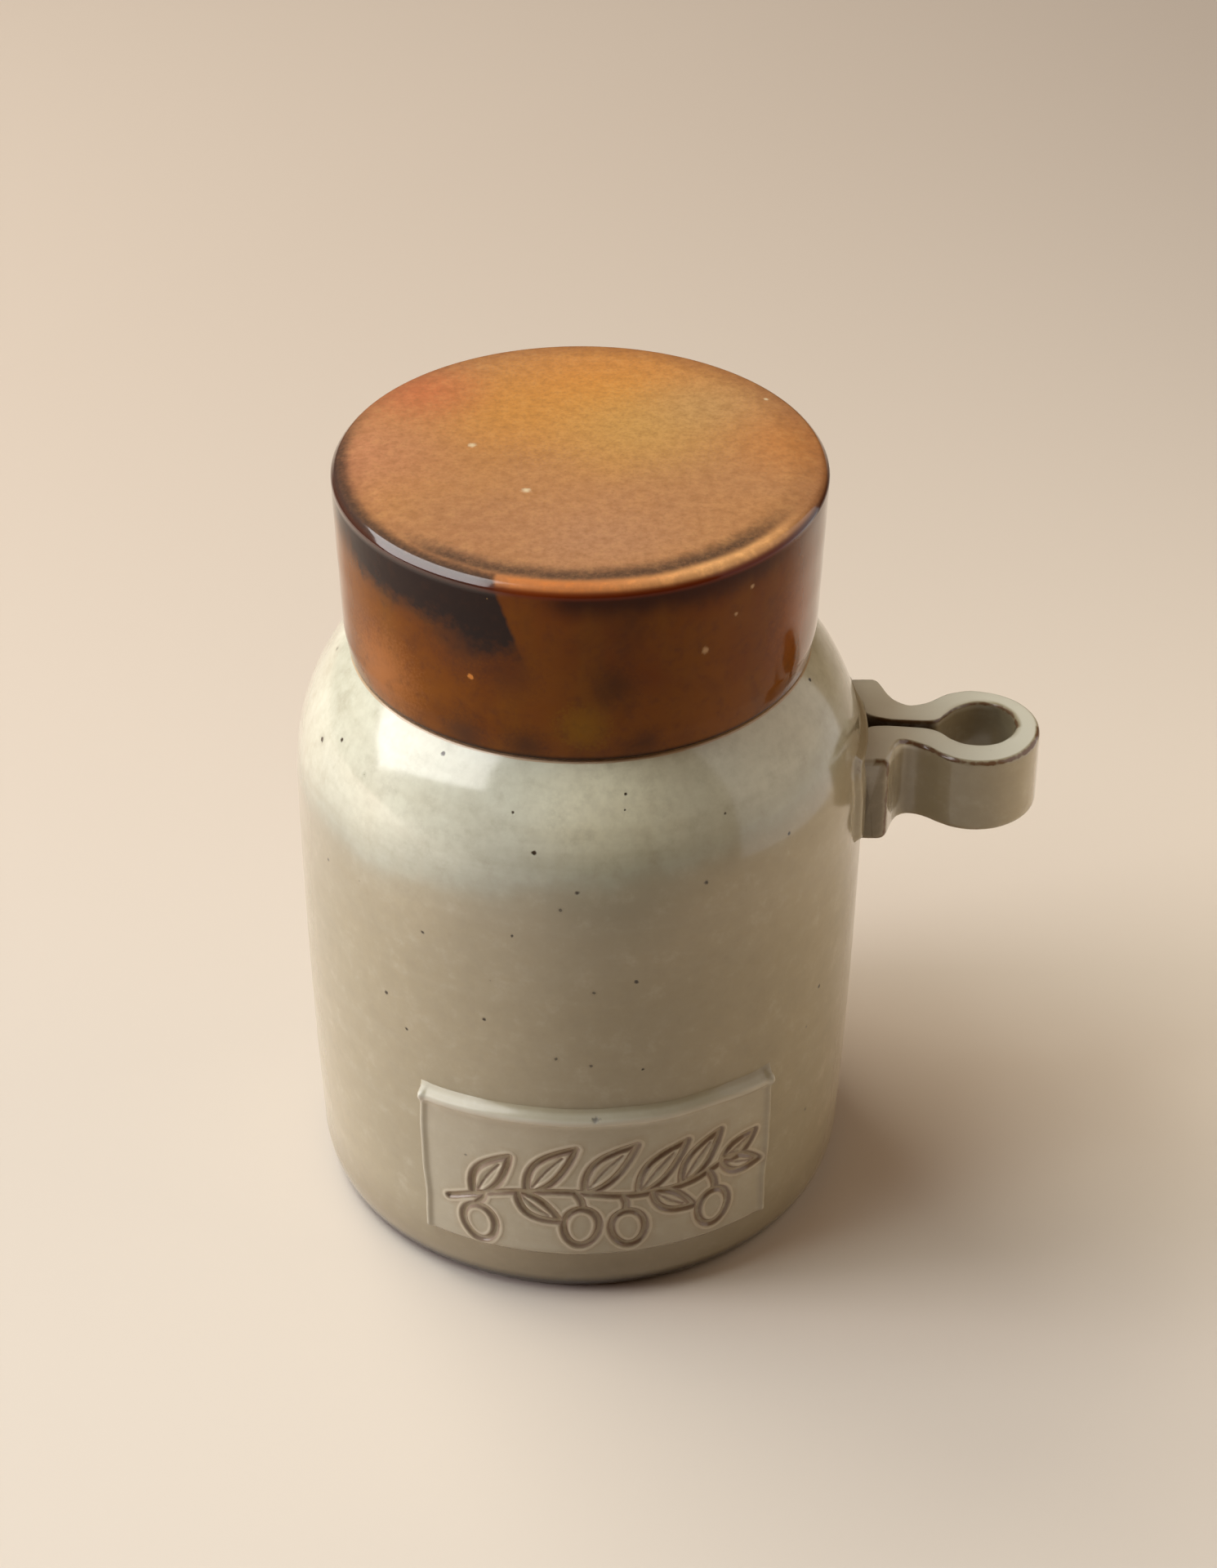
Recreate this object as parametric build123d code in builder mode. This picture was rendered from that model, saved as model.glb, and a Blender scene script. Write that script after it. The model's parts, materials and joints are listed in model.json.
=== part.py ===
from build123d import *
import math
import os

# A lidded stoneware jar, in millimetres. The origin is the middle of the base, +Z is up,
# the folded strap handle points along +X and the raised tablet is on the -Y side.

# Pot, outside: a barrelled wall, widest at the shoulder line, that rounds in to a flat seat
body_radius = 69.15
shoulder_height = 116.0
shoulder_reach = 38.0
shoulder_rise = 46.0
wall_fall = 2.65
heel_round = 6.0
heel_height = 12.0

# Pot, inside: the clay is thrown thicker under the neck
wall_thickness = 6.0
shoulder_thickness = 8.0
floor_thickness = 8.0
floor_corner = 14.0

# Neck collar and the flat seat round it, which the lid stands on
seat_radius = 55.0
seat_width = 5.5
neck_wall = 6.0
neck_height = 29.0
neck_lip_share = 0.45

# Lid: a deep cap, a little wider at its top than at its rim
lid_height = 48.2
lid_overhang = 1.1
lid_flare = 1.2
lid_clearance = 0.8
lid_top_thickness = 7.0
lid_roll_start_share = 0.84
lid_roll_drop = 0.7
lid_roll_round = 16.0
lid_arris_round = 3.4
lid_rim_round = 3.6
lid_inner_round = 1.2
lid_ceiling_round = 5.0

# Clay pad that the handle is luted to
pad_thickness = 1.4
pad_half_width = 23.0
pad_bottom = 103.5
pad_height = 24.5
pad_corner = 5.0

# Handle: one strap folded into a loop, its two ends spread on the pad as feet. The hole and the
# slot lie a little off its middle, towards the back
strap_bottom = 103.7
strap_height = 20.8
foot_thickness = 4.2
foot_half_width = 17.6
foot_round = 2.2
foot_flare_above = 2.4
foot_flare_below = 1.2
flare_run = 9.0
foot_blend = 3.6
waist_half = 7.8
loop_blend = 9.9
loop_radius = 15.7
hole_radius = 8.6
hole_shift = 1.3
hole_blend = 7.6
slot_half = 0.9
slot_shift = 0.6
slot_root_half = 2.3
slot_taper = 5.5
strap_edge_round = 1.0

# Tablet: a raised panel with a rim, pressed on to the wall and turned a little to the handle
tablet_raise = 2.7
tablet_bottom = 13.6
tablet_height = 48.2
tablet_half_angle = 38.3
tablet_turn = 3.0
tablet_rim = 3.0
tablet_field_depth = 1.1
tablet_edge_round = 1.1

# How far every cut runs past the clay that it cuts
overrun = 5.0

# The wall is one shallow arc, upright where it meets the shoulder, that falls in to the heel
heel_radius = body_radius - wall_fall
foot_radius = heel_radius - heel_round
wall_run = shoulder_height - heel_height
wall_sweep = (wall_run**2 + wall_fall**2) / (2 * wall_fall)

# The shoulder is a quarter ellipse about this radius, stopped where the seat begins
shoulder_centre = body_radius - shoulder_reach
shoulder_turn = math.degrees(math.acos((seat_radius - shoulder_centre) / shoulder_reach))
seat_height = shoulder_height + shoulder_rise * math.sin(math.radians(shoulder_turn))
neck_radius = seat_radius - seat_width
mouth_radius = neck_radius - neck_wall
rim_height = seat_height + neck_height
jar_height = seat_height + lid_height


def wall_radius(height):
    """Outside radius of the pot at a height between the heel and the seat."""
    climb = height - shoulder_height
    if climb > 0:
        return shoulder_centre + shoulder_reach * math.sqrt(1 - (climb / shoulder_rise) ** 2)
    return body_radius - wall_sweep + math.sqrt(wall_sweep**2 - climb**2)


def stand_off(edge):
    """How far the middle of an edge stands off the pot's outer face."""
    middle = edge @ 0.5
    return math.hypot(middle.X, middle.Y) - wall_radius(middle.Z)


def touch(centre, radius, other, other_radius):
    """The point where two rounds that just touch meet."""
    share = radius / (radius + other_radius)
    return (centre[0] + (other[0] - centre[0]) * share, centre[1] + (other[1] - centre[1]) * share)


def blend_run(radius, blend, half, shift=0):
    """How far along X a round lies from the flat that a blend joins it to."""
    return math.sqrt((radius + blend) ** 2 - (half + blend - shift) ** 2)


def pot_silhouette(push):
    """Half section of the closed pot, from its axis to its outer face, pushed outwards."""
    with BuildSketch(Plane.XZ) as half:
        with BuildLine():
            Line((0, 0), (foot_radius + push, 0))
            EllipticalCenterArc((foot_radius + push, heel_height), heel_round, heel_height,
                                start_angle=-90, arc_size=90)
            TangentArc((body_radius + push, shoulder_height), (heel_radius + push, heel_height),
                       tangent=(0, -1))
            top = EllipticalCenterArc((shoulder_centre + push, shoulder_height), shoulder_reach,
                                      shoulder_rise, start_angle=0, arc_size=shoulder_turn)
            Line(top @ 1, (0, seat_height))
            Line((0, seat_height), (0, 0))
        make_face()
    return half.sketch


# The pot: wall, shoulder and seat, hollowed out, with the neck collar on the seat
inner_reach = shoulder_reach - wall_thickness
inner_turn = math.degrees(math.acos((mouth_radius - shoulder_centre) / inner_reach))
corner_height = floor_thickness + floor_corner
corner_radius = wall_radius(corner_height) - wall_thickness
neck_lip = neck_wall * neck_lip_share
with BuildPart() as jar_body:
    revolve(pot_silhouette(0), axis=Axis.Z)
    with BuildSketch(Plane.XZ):
        with BuildLine():
            Line((0, floor_thickness), (corner_radius - floor_corner, floor_thickness))
            CenterArc((corner_radius - floor_corner, corner_height), floor_corner, -90, 90)
            TangentArc((body_radius - wall_thickness, shoulder_height), (corner_radius, corner_height),
                       tangent=(0, -1))
            vault = EllipticalCenterArc((shoulder_centre, shoulder_height), inner_reach,
                                        shoulder_rise - shoulder_thickness,
                                        start_angle=0, arc_size=inner_turn)
            Line(vault @ 1, (mouth_radius, seat_height + overrun))
            Line((mouth_radius, seat_height + overrun), (0, seat_height + overrun))
            Line((0, seat_height + overrun), (0, floor_thickness))
        make_face()
    revolve(axis=Axis.Z, mode=Mode.SUBTRACT)
    with BuildSketch(Plane.XZ):
        with BuildLine():
            FilletPolyline((mouth_radius, seat_height), (neck_radius, seat_height),
                           (neck_radius, rim_height), (mouth_radius, rim_height),
                           (mouth_radius, seat_height), radius=(0, 0, neck_lip, neck_lip))
        make_face()
    revolve(axis=Axis.Z)

# The lid: a turned cap whose flat rim stands on the seat
lid_rim_radius = seat_radius + lid_overhang
lid_radius = lid_rim_radius + lid_flare
lid_bore = neck_radius + lid_clearance
with BuildPart() as lid:
    with BuildSketch(Plane.XZ):
        with BuildLine():
            FilletPolyline((0, jar_height), (lid_radius * lid_roll_start_share, jar_height),
                           (lid_radius, jar_height - lid_roll_drop),
                           (lid_rim_radius, seat_height), (lid_bore, seat_height),
                           (lid_bore, jar_height - lid_top_thickness),
                           (0, jar_height - lid_top_thickness),
                           radius=(lid_roll_round, lid_arris_round, lid_rim_round,
                                   lid_inner_round, lid_ceiling_round))
            Line((0, jar_height - lid_top_thickness), (0, jar_height))
        make_face()
    revolve(axis=Axis.Z)

# The pad: a thin skin of clay that follows the wall, with rounded corners
with BuildPart() as handle_pad:
    revolve(pot_silhouette(pad_thickness), axis=Axis.Z)
    revolve(pot_silhouette(0), axis=Axis.Z, mode=Mode.SUBTRACT)
    with BuildSketch(Plane.YZ.offset(body_radius / 2)):
        with Locations((0, pad_bottom + pad_height / 2)):
            RectangleRounded(2 * pad_half_width, pad_height, pad_corner)
    extrude(amount=body_radius, mode=Mode.INTERSECT)

# The strap, seen from above: feet on the pad, a waist with a slot, and an open loop
foot_face = body_radius + pad_thickness + foot_thickness
waist_place = math.sqrt((foot_face + foot_blend) ** 2 - (waist_half + foot_blend) ** 2)
loop_place = waist_place + blend_run(loop_radius, loop_blend, waist_half)
hole_place = loop_place + hole_shift
foot_end = math.sqrt(foot_face**2 - foot_half_width**2)
slot_root = body_radius + pad_thickness
loop_tip = loop_place + loop_radius


def round_about(centre, radius, start, end):
    """The shorter arc about a centre, from one point on it to another."""
    reach = Vector((start[0] + end[0]) / 2 - centre[0], (start[1] + end[1]) / 2 - centre[1])
    middle = Vector(*centre) + reach.normalized() * radius
    ThreePointArc(start, middle, end)


def strap_side(side):
    """Outer edge of one half of the strap, from its foot's end to the loop's tip."""
    foot_bend = (waist_place, side * (waist_half + foot_blend))
    loop_bend = (waist_place, side * (waist_half + loop_blend))
    loop_middle = (loop_place, 0)
    on_foot = touch((0, 0), foot_face, foot_bend, foot_blend)
    on_loop = touch(loop_middle, loop_radius, loop_bend, loop_blend)
    waist = (waist_place, side * waist_half)
    round_about((0, 0), foot_face, (foot_end, side * foot_half_width), on_foot)
    round_about(foot_bend, foot_blend, on_foot, waist)
    round_about(loop_bend, loop_blend, waist, on_loop)
    round_about(loop_middle, loop_radius, on_loop, (loop_tip, 0))


def hole_side(side):
    """Inner edge of one half of the strap, from the slot's root round the open loop."""
    hole_middle = (hole_place, hole_shift)
    run = blend_run(hole_radius, hole_blend, slot_half, side * (hole_shift - slot_shift))
    root_edge = slot_shift + side * slot_root_half
    slot_edge = slot_shift + side * slot_half
    slot_end = (hole_place - run, slot_edge)
    slot_bend = (hole_place - run, slot_edge + side * hole_blend)
    on_hole = touch(hole_middle, hole_radius, slot_bend, hole_blend)
    Line((slot_root - overrun, root_edge), (slot_root, root_edge))
    Line((slot_root, root_edge), (slot_root + slot_taper, slot_edge))
    Line((slot_root + slot_taper, slot_edge), slot_end)
    round_about(slot_bend, hole_blend, slot_end, on_hole)
    round_about(hole_middle, hole_radius, on_hole, (hole_place + hole_radius, hole_shift))


def is_outer_arris(edge):
    """True for an edge above or below that runs round the outside of the strap."""
    start, middle, end = edge @ 0, edge @ 0.5, edge @ 1
    level = abs(end.Z - start.Z) < edge.length / 2
    off_hole = math.hypot(middle.X - hole_place, middle.Y - hole_shift) > (hole_radius + loop_radius) / 2
    off_slot = abs(middle.Y) > waist_half / 2 or middle.X > hole_place
    crosses = edge.geom_type == GeomType.LINE
    return level and off_hole and off_slot and not crosses and middle.X > slot_root


def flare_profile(level, flare):
    """Upper or lower edge of the strap from the side: level along the loop, spread at the feet."""
    flare_end = foot_face + flare_run
    Line((body_radius / 2, level + flare), (foot_face, level + flare))
    Bezier((foot_face, level + flare), ((foot_face + flare_end) / 2, level + flare),
           ((foot_face + flare_end) / 2, level), (flare_end, level))
    Line((flare_end, level), (loop_tip + overrun, level))


with BuildPart() as handle_strap:
    with BuildSketch(Plane.XY.offset(strap_bottom - foot_flare_below)) as strap_plan:
        with BuildLine():
            strap_side(1)
            strap_side(-1)
            Line((foot_end, foot_half_width), (body_radius / 2, foot_half_width))
            Line((body_radius / 2, foot_half_width), (body_radius / 2, -foot_half_width))
            Line((body_radius / 2, -foot_half_width), (foot_end, -foot_half_width))
        make_face()
        fillet(strap_plan.vertices().group_by(Axis.X)[1], radius=foot_round)
        with BuildLine():
            hole_side(1)
            hole_side(-1)
            Line((slot_root - overrun, slot_shift + slot_root_half),
                 (slot_root - overrun, slot_shift - slot_root_half))
        make_face(mode=Mode.SUBTRACT)
    extrude(amount=strap_height + foot_flare_above + foot_flare_below)
    with BuildSketch(Plane.XZ.offset(-foot_half_width - overrun)):
        with BuildLine():
            flare_profile(strap_bottom, -foot_flare_below)
            flare_profile(strap_bottom + strap_height, foot_flare_above)
            Line((body_radius / 2, strap_bottom - foot_flare_below),
                 (body_radius / 2, strap_bottom + strap_height + foot_flare_above))
            Line((loop_tip + overrun, strap_bottom), (loop_tip + overrun, strap_bottom + strap_height))
        make_face()
    extrude(amount=2 * (foot_half_width + overrun), mode=Mode.INTERSECT)
    revolve(pot_silhouette(pad_thickness), axis=Axis.Z, mode=Mode.SUBTRACT)
    fillet(handle_strap.edges().filter_by(is_outer_arris), radius=strap_edge_round)


def upright_plane(angle):
    """The half plane through the jar's axis at an angle round it, with up as its second axis."""
    turn = math.radians(angle)
    return Plane((0, 0, 0), x_dir=(math.cos(turn), math.sin(turn), 0),
                 z_dir=(math.sin(turn), -math.cos(turn), 0))


def wall_band(inset, inner_push, outer_push):
    """A patch that follows the wall, inset from the tablet's outline, between two pushes."""
    low = tablet_bottom + inset
    high = tablet_bottom + tablet_height - inset
    middle = (low + high) / 2
    half_angle = tablet_half_angle - math.degrees(inset / body_radius)
    with BuildSketch(upright_plane(tablet_turn - 90 - half_angle)) as section:
        with BuildLine():
            ThreePointArc((wall_radius(low) + inner_push, low), (wall_radius(middle) + inner_push, middle),
                          (wall_radius(high) + inner_push, high))
            ThreePointArc((wall_radius(low) + outer_push, low), (wall_radius(middle) + outer_push, middle),
                          (wall_radius(high) + outer_push, high))
            Line((wall_radius(low) + inner_push, low), (wall_radius(low) + outer_push, low))
            Line((wall_radius(high) + inner_push, high), (wall_radius(high) + outer_push, high))
        make_face()
    return section.sketch, 2 * half_angle


# The tablet: a slab wrapped on the wall, its rim left standing round a sunk field
with BuildPart() as front_tablet:
    slab, slab_arc = wall_band(0, 0, tablet_raise)
    revolve(slab, axis=Axis.Z, revolution_arc=slab_arc)
    field, field_arc = wall_band(tablet_rim, tablet_raise - tablet_field_depth, tablet_raise + overrun)
    off_wall = front_tablet.edges().filter_by(lambda edge: stand_off(edge) > tablet_raise / 4)
    fillet(off_wall, radius=tablet_edge_round)
    revolve(field, axis=Axis.Z, revolution_arc=field_arc, mode=Mode.SUBTRACT)

# Each piece goes to its own file, named as the piece is
pieces = {
    "jar_body": jar_body,
    "lid": lid,
    "handle_pad": handle_pad,
    "handle_strap": handle_strap,
    "front_tablet": front_tablet,
}
os.makedirs("parts", exist_ok=True)
for name, piece in pieces.items():
    piece.part.label = name
    export_step(piece.part, f"parts/{name}.step")
    print(name, [round(v, 2) for v in piece.part.bounding_box().size], len(piece.part.solids()))
print("seat at", round(seat_height, 2), "rim at", round(rim_height, 2), "top at", round(jar_height, 2))
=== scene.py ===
# %% [markdown]
# A lidded stoneware jar: a thrown pot in pale glaze, a deep cap in rust glaze, a strap handle folded
# into a loop, and a raised tablet low on the front. Everything is in metres, in the frame of the
# solid model: the origin is the middle of the base, +Z is up, the handle points along +X and the
# tablet faces -Y. This first step brings in the solid model, which every piece is fitted to.

# %% Load the frame
import json
import math
import bpy
import numpy as np
from mathutils import Matrix, Vector

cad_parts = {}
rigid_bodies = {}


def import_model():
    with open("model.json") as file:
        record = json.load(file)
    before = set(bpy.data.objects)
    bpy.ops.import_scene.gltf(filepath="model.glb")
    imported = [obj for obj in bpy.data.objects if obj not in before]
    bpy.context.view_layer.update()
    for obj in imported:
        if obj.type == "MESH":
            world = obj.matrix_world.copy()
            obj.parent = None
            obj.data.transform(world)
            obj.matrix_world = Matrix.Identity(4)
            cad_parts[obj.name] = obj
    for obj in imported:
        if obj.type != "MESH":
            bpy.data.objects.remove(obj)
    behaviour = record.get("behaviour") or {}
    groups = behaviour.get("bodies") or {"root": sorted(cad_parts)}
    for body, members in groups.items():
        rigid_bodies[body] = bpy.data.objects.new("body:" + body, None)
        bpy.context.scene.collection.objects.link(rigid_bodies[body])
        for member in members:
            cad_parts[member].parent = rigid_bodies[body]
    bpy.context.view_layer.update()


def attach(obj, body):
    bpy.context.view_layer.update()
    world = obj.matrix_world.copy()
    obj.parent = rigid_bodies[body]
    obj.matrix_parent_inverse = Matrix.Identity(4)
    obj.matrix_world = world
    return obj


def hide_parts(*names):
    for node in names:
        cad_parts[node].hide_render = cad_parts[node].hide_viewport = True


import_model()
MM = 0.001

# %% [markdown]
# The camera. A picture taken from above with a short telephoto lens keeps the jar's sides nearly
# parallel. Blender's camera looks along its own -Z, so the three axes of the view are worked out
# from how far it looks down, how far it is turned and how far it is rolled, and become the columns
# of its matrix.

# %% Camera
def new_object(name, data):
    """Puts data into the scene as an object of its own, at the origin."""
    made = bpy.data.objects.new(name, data)
    bpy.context.scene.collection.objects.link(made)
    return made


def direction(azimuth, elevation):
    """A unit vector: azimuth in degrees from +Y towards +X, elevation above the horizon."""
    a, e = math.radians(azimuth), math.radians(elevation)
    return Vector((math.sin(a) * math.cos(e), math.cos(a) * math.cos(e), math.sin(e)))


HEADING, LOOK_DOWN, ROLL = 1.334, 34.541, math.radians(0.231)
camera_data = bpy.data.cameras.new("jar_camera")
camera_data.lens, camera_data.sensor_width, camera_data.clip_end = 85.0, 36.0, 20.0
camera = new_object("jar_camera", camera_data)
forward = direction(HEADING, -LOOK_DOWN)
level = direction(HEADING + 90, 0)
upward = level.cross(forward)
right = level * math.cos(ROLL) + upward * math.sin(ROLL)
up = upward * math.cos(ROLL) - level * math.sin(ROLL)
camera.matrix_world = Matrix((right, up, -forward)).transposed().to_4x4()
camera.location = Vector((-0.01056, -0.74694, 0.62231))
bpy.context.scene.camera = camera
print("camera at", [round(v, 3) for v in camera.location])

# %% [markdown]
# The studio. The jar stands on a plain pale floor. A big softbox hangs high on the left, a second
# one behind on the left, and a pale card stands low on the left; they light the clay. What a glossy
# glaze mirrors is chosen apart from that: one large square panel, turned so that a corner points
# down, shows only in reflections. Its mirror image is the bright patch on the left shoulder and
# the white line on the lid's edge. A dim upright board on the right gives the weaker patch there,
# and a warm twin of it, which isn't mirrored, lights the clay as the floor's bounce would.
# An area light faces along its own -Z, so a helper turns it to the jar.

# %% Lights
def soft_light(name, place, aim, size, power, colour, mirrored, corner_turn=0.0):
    """A rectangular light, turned to its aim. It is either mirrored in the glaze or lights the clay."""
    data = bpy.data.lights.new(name, "AREA")
    data.shape, data.energy, data.color = "RECTANGLE", power, colour
    data.size, data.size_y = size
    light = new_object(name, data)
    light.visible_diffuse, light.visible_glossy = not mirrored, mirrored
    facing = (aim - place).to_track_quat("-Z", "Y").to_matrix().to_4x4()
    light.matrix_world = Matrix.Translation(place) @ facing @ Matrix.Rotation(corner_turn, 4, "Z")


for thing in list(bpy.data.objects):
    if thing.type == "LIGHT":
        bpy.data.objects.remove(thing)
AWAY, HEART, NECK_LEVEL = 1.6, Vector((0, 0, 0.14)), Vector((0, -0.01, 0.34))
for name, azimuth, elevation, size, power, colour in (
        ("softbox_high", -101, 62, 0.9, 19.8, (0.89, 1.0, 1.0)),
        ("softbox_behind", -45, 48, 1.0, 17.0, (1.0, 0.985, 0.86)),
        ("card_left", -95, 9, 0.5, 20.0, (0.97, 0.94, 1.0))):
    place = HEART + direction(azimuth, elevation) * AWAY
    soft_light(name, place, HEART, (size, size), power, colour, False)
soft_light("panel_mirrored", HEART + direction(-97, 42) * AWAY, HEART, (1.57, 1.57), 42.0,
           (1.0, 0.99, 0.99), True, math.radians(35))
for name, x, power, colour, mirrored in (("board_right", 0.40, 0.80, (0.92, 0.96, 1.0), True),
                                         ("bounce_right", 0.41, 1.22, (1.0, 0.84, 0.60), False)):
    soft_light(name, Vector((x, -0.01, 0.34)), NECK_LEVEL, (0.48, 0.68), power, colour, mirrored)

# %% [markdown]
# The air around gives a faint rusty light, which warms the shadows. Where the camera looks past the
# floor it shows the dusk that the floor fades into, so the horizon is soft. The Light Path node tells
# the two apart.

# %% Surroundings
world = bpy.data.worlds.new("studio_air")
world.use_nodes = True
air, sky = world.node_tree, world.node_tree.nodes["Background"]
seen = air.nodes.new("ShaderNodeLightPath").outputs["Is Camera Ray"]
tint = air.nodes.new("ShaderNodeMixRGB")
tint.inputs["Color1"].default_value = (1.0, 0.30, 0.12, 1)
tint.inputs["Color2"].default_value = (1.0, 0.79, 0.64, 1)
air.links.new(seen, tint.inputs["Fac"])
air.links.new(tint.outputs["Color"], sky.inputs["Color"])
sky.inputs["Strength"].default_value = 0.045
bpy.context.scene.world = world
bpy.context.scene.view_settings.view_transform = "Standard"
bpy.context.scene.view_settings.look = "None"
print("air", world.name)

# %% [markdown]
# Wiring helpers. Node trees read best when the building of one node takes one line. These helpers
# work in shader trees and in geometry trees alike, because both have maths, noise and range nodes.
# They add to the tree that was opened last, so no call has to name it.

# %% Helpers that build nodes
def open_tree(tree):
    """Makes this the tree that the helpers add their nodes to."""
    global bench
    bench = tree
    return tree


def wire(value, socket):
    """Feeds a socket from another node's socket, or sets it to a plain value."""
    if isinstance(value, bpy.types.NodeSocket):
        bench.links.new(value, socket)
    else:
        socket.default_value = value


def add_node(kind, inputs=(), **settings):
    """Adds a node, sets its options, then fills its inputs by name or by number."""
    made = bench.nodes.new(kind)
    for option, choice in settings.items():
        setattr(made, option, choice)
    for key, value in dict(inputs).items():
        wire(value, made.inputs[key])
    return made


def maths(operation, *given):
    """A maths node, as operation(first, second, third)."""
    return add_node("ShaderNodeMath", enumerate(given), operation=operation).outputs[0]


def maths_helper(operation):
    """A helper for one kind of maths node."""
    return lambda *given: maths(operation, *given)


plus, minus, times, over = map(maths_helper, ("ADD", "SUBTRACT", "MULTIPLY", "DIVIDE"))
times_plus, larger = map(maths_helper, ("MULTIPLY_ADD", "MAXIMUM"))

# %% [markdown]
# Four more helpers stand for the nodes that the glazes use most: a vector sum, a range that is
# stretched on to another, cloudy noise and a mix of two colours.

# %% Helpers for ranges, noise and colours
def vector_maths(operation, *given, output=0):
    return add_node("ShaderNodeVectorMath", enumerate(given), operation=operation).outputs[output]


def stretch(vector, scale):
    """The vector with each of its axes scaled by its own amount."""
    return vector_maths("MULTIPLY", vector, scale)


def remap(value, low, high, to_low=0.0, to_high=1.0, soft=True):
    """Stretches low..high on to to_low..to_high, eased at both ends when soft."""
    return add_node("ShaderNodeMapRange", enumerate((value, low, high, to_low, to_high)),
                    interpolation_type="SMOOTHSTEP" if soft else "LINEAR").outputs[0]


def noise(vector, scale, detail=2.0, roughness=0.5, warp=0.0):
    """Cloudy noise from 0 to 1, its scale in features per metre."""
    return add_node("ShaderNodeTexNoise", {"Vector": vector, "Scale": scale, "Detail": detail,
                    "Roughness": roughness, "Distortion": warp}).outputs[0]


def blend_colour(share, first, second, how="MIX"):
    """first where share is 0, second where it is 1. A plain colour is red, green and blue."""
    first, second = ((*c, 1) if isinstance(c, tuple) else c for c in (first, second))
    return add_node("ShaderNodeMix", {0: share, 6: first, 7: second}, data_type="RGBA",
                    blend_type=how).outputs[2]


def lay_over(colour, layers):
    """Lays (mask, strength, hue) layers over a colour, one after the other."""
    for mask, strength, hue in layers:
        colour = blend_colour(times(mask, strength), colour, hue)
    return colour


# %% [markdown]
# A node group is a tree of its own with named inputs, so that one idea is built once and set into
# each glaze with other values.

# %% Helpers for node groups
def new_group(name, kind, ins, outs):
    """A node group with named sockets. ins and outs are (name, socket type, default) rows."""
    tree = open_tree(bpy.data.node_groups.new(name, kind))
    for way, rows in (("INPUT", ins), ("OUTPUT", outs)):
        for title, socket, default in rows:
            made = tree.interface.new_socket(title, in_out=way, socket_type="NodeSocket" + socket)
            if default is not None:
                made.default_value = default
    return tree, tree.nodes.new("NodeGroupInput").outputs, tree.nodes.new("NodeGroupOutput").inputs


def place_group(group, **values):
    """Sets a group into a material, with its own values on the group's inputs."""
    made = bench.nodes.new("ShaderNodeGroup")
    made.node_tree = group
    for title, value in values.items():
        wire(value, made.inputs[title])
    return made.outputs


# %% [markdown]
# Iron specks. Stoneware clay carries grains of iron that melt up through the glaze as small dark
# dots, each with a softer halo, and gas leaves pinholes. A Voronoi texture gives one point to each
# cell of space; a random number of the cell decides whether it has a speck, and how large it is.
# Both glazes use this, so it is a shader group that puts out masks and leaves the colours to them.

# %% Shader group: iron specks
speck_group, given, result = new_group(
    "iron_specks", "ShaderNodeTree",
    [("Vector", "Vector", None), ("Spacing", "Float", 0.008), ("Size", "Float", 0.0005),
     ("Share", "Float", 0.3)],
    [("Speck", "Float", None), ("Halo", "Float", None)])
cells = add_node("ShaderNodeTexVoronoi", {"Vector": given["Vector"],
                                          "Scale": over(1.0, given["Spacing"])})
away = times(cells.outputs["Distance"], given["Spacing"])
luck = add_node("ShaderNodeSeparateColor", {0: cells.outputs["Color"]})
kept = maths("LESS_THAN", luck.outputs[0], given["Share"])
ragged = noise(given["Vector"], 2600.0, 1.0)
reach = times(given["Size"], times_plus(luck.outputs[1], 0.9, 0.35))
reach = times(reach, times_plus(ragged, 1.2, 0.4))
for title, spread in (("Speck", 1.15), ("Halo", 3.2)):
    wire(times(remap(away, times(reach, spread), reach), kept), result[title])
print("speck group", len(speck_group.nodes), "nodes")

# %% [markdown]
# Glaze that breaks. On a sharp edge the melted glaze runs thin and the iron in the clay shows
# through as a rusty line. The meshes carry how sharp the clay is at each point; this group frays
# that number with noise, so that the line comes and goes as it does on a fired pot.

# %% Shader group: frayed edge
fray_group, given, result = new_group(
    "frayed_edge", "ShaderNodeTree",
    [("Vector", "Vector", None), ("Edge", "Float", 0.0), ("Grain", "Float", 700.0),
     ("Fray", "Float", 0.5), ("Start", "Float", 0.45), ("Full", "Float", 0.8)],
    [("Mask", "Float", None)])
coarse = noise(given["Vector"], times(given["Grain"], 0.25))
fine = noise(given["Vector"], given["Grain"])
swing = minus(plus(coarse, fine), 1.0)
shaken = times_plus(swing, given["Fray"], given["Edge"])
wire(remap(shaken, given["Start"], given["Full"]), result["Mask"])
print("fray group", len(fray_group.nodes), "nodes")

# %% [markdown]
# The pot's measures. The wall is a slow barrel curve and the shoulder a quarter of an ellipse, so
# its radius at any height follows from a few sizes. The glazes need it to put a spot on the wall,
# and the pot, the pad and the tablet are built on it.

# %% The pot's measures, in millimetres
BODY_RADIUS, SHOULDER_HEIGHT, SHOULDER_REACH, SHOULDER_RISE = 69.15, 116.0, 38.0, 46.0
WALL_FALL, HEEL_ROUND, HEEL_HEIGHT, WALL = 2.65, 6.0, 12.0, 6.0
FLOOR, FLOOR_CORNER, NECK_HEIGHT, NECK_WALL = 8.0, 14.0, 29.0, 6.0
SEAT_RADIUS, SEAT_WIDTH, SHOULDER_WALL = 55.0, 5.5, 8.0
SWEEP = ((SHOULDER_HEIGHT - HEEL_HEIGHT) ** 2 + WALL_FALL ** 2) / (2 * WALL_FALL)
SHOULDER_CENTRE = BODY_RADIUS - SHOULDER_REACH
SHOULDER_TURN = math.acos((SEAT_RADIUS - SHOULDER_CENTRE) / SHOULDER_REACH)
SEAT = SHOULDER_HEIGHT + SHOULDER_RISE * math.sin(SHOULDER_TURN)
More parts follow.
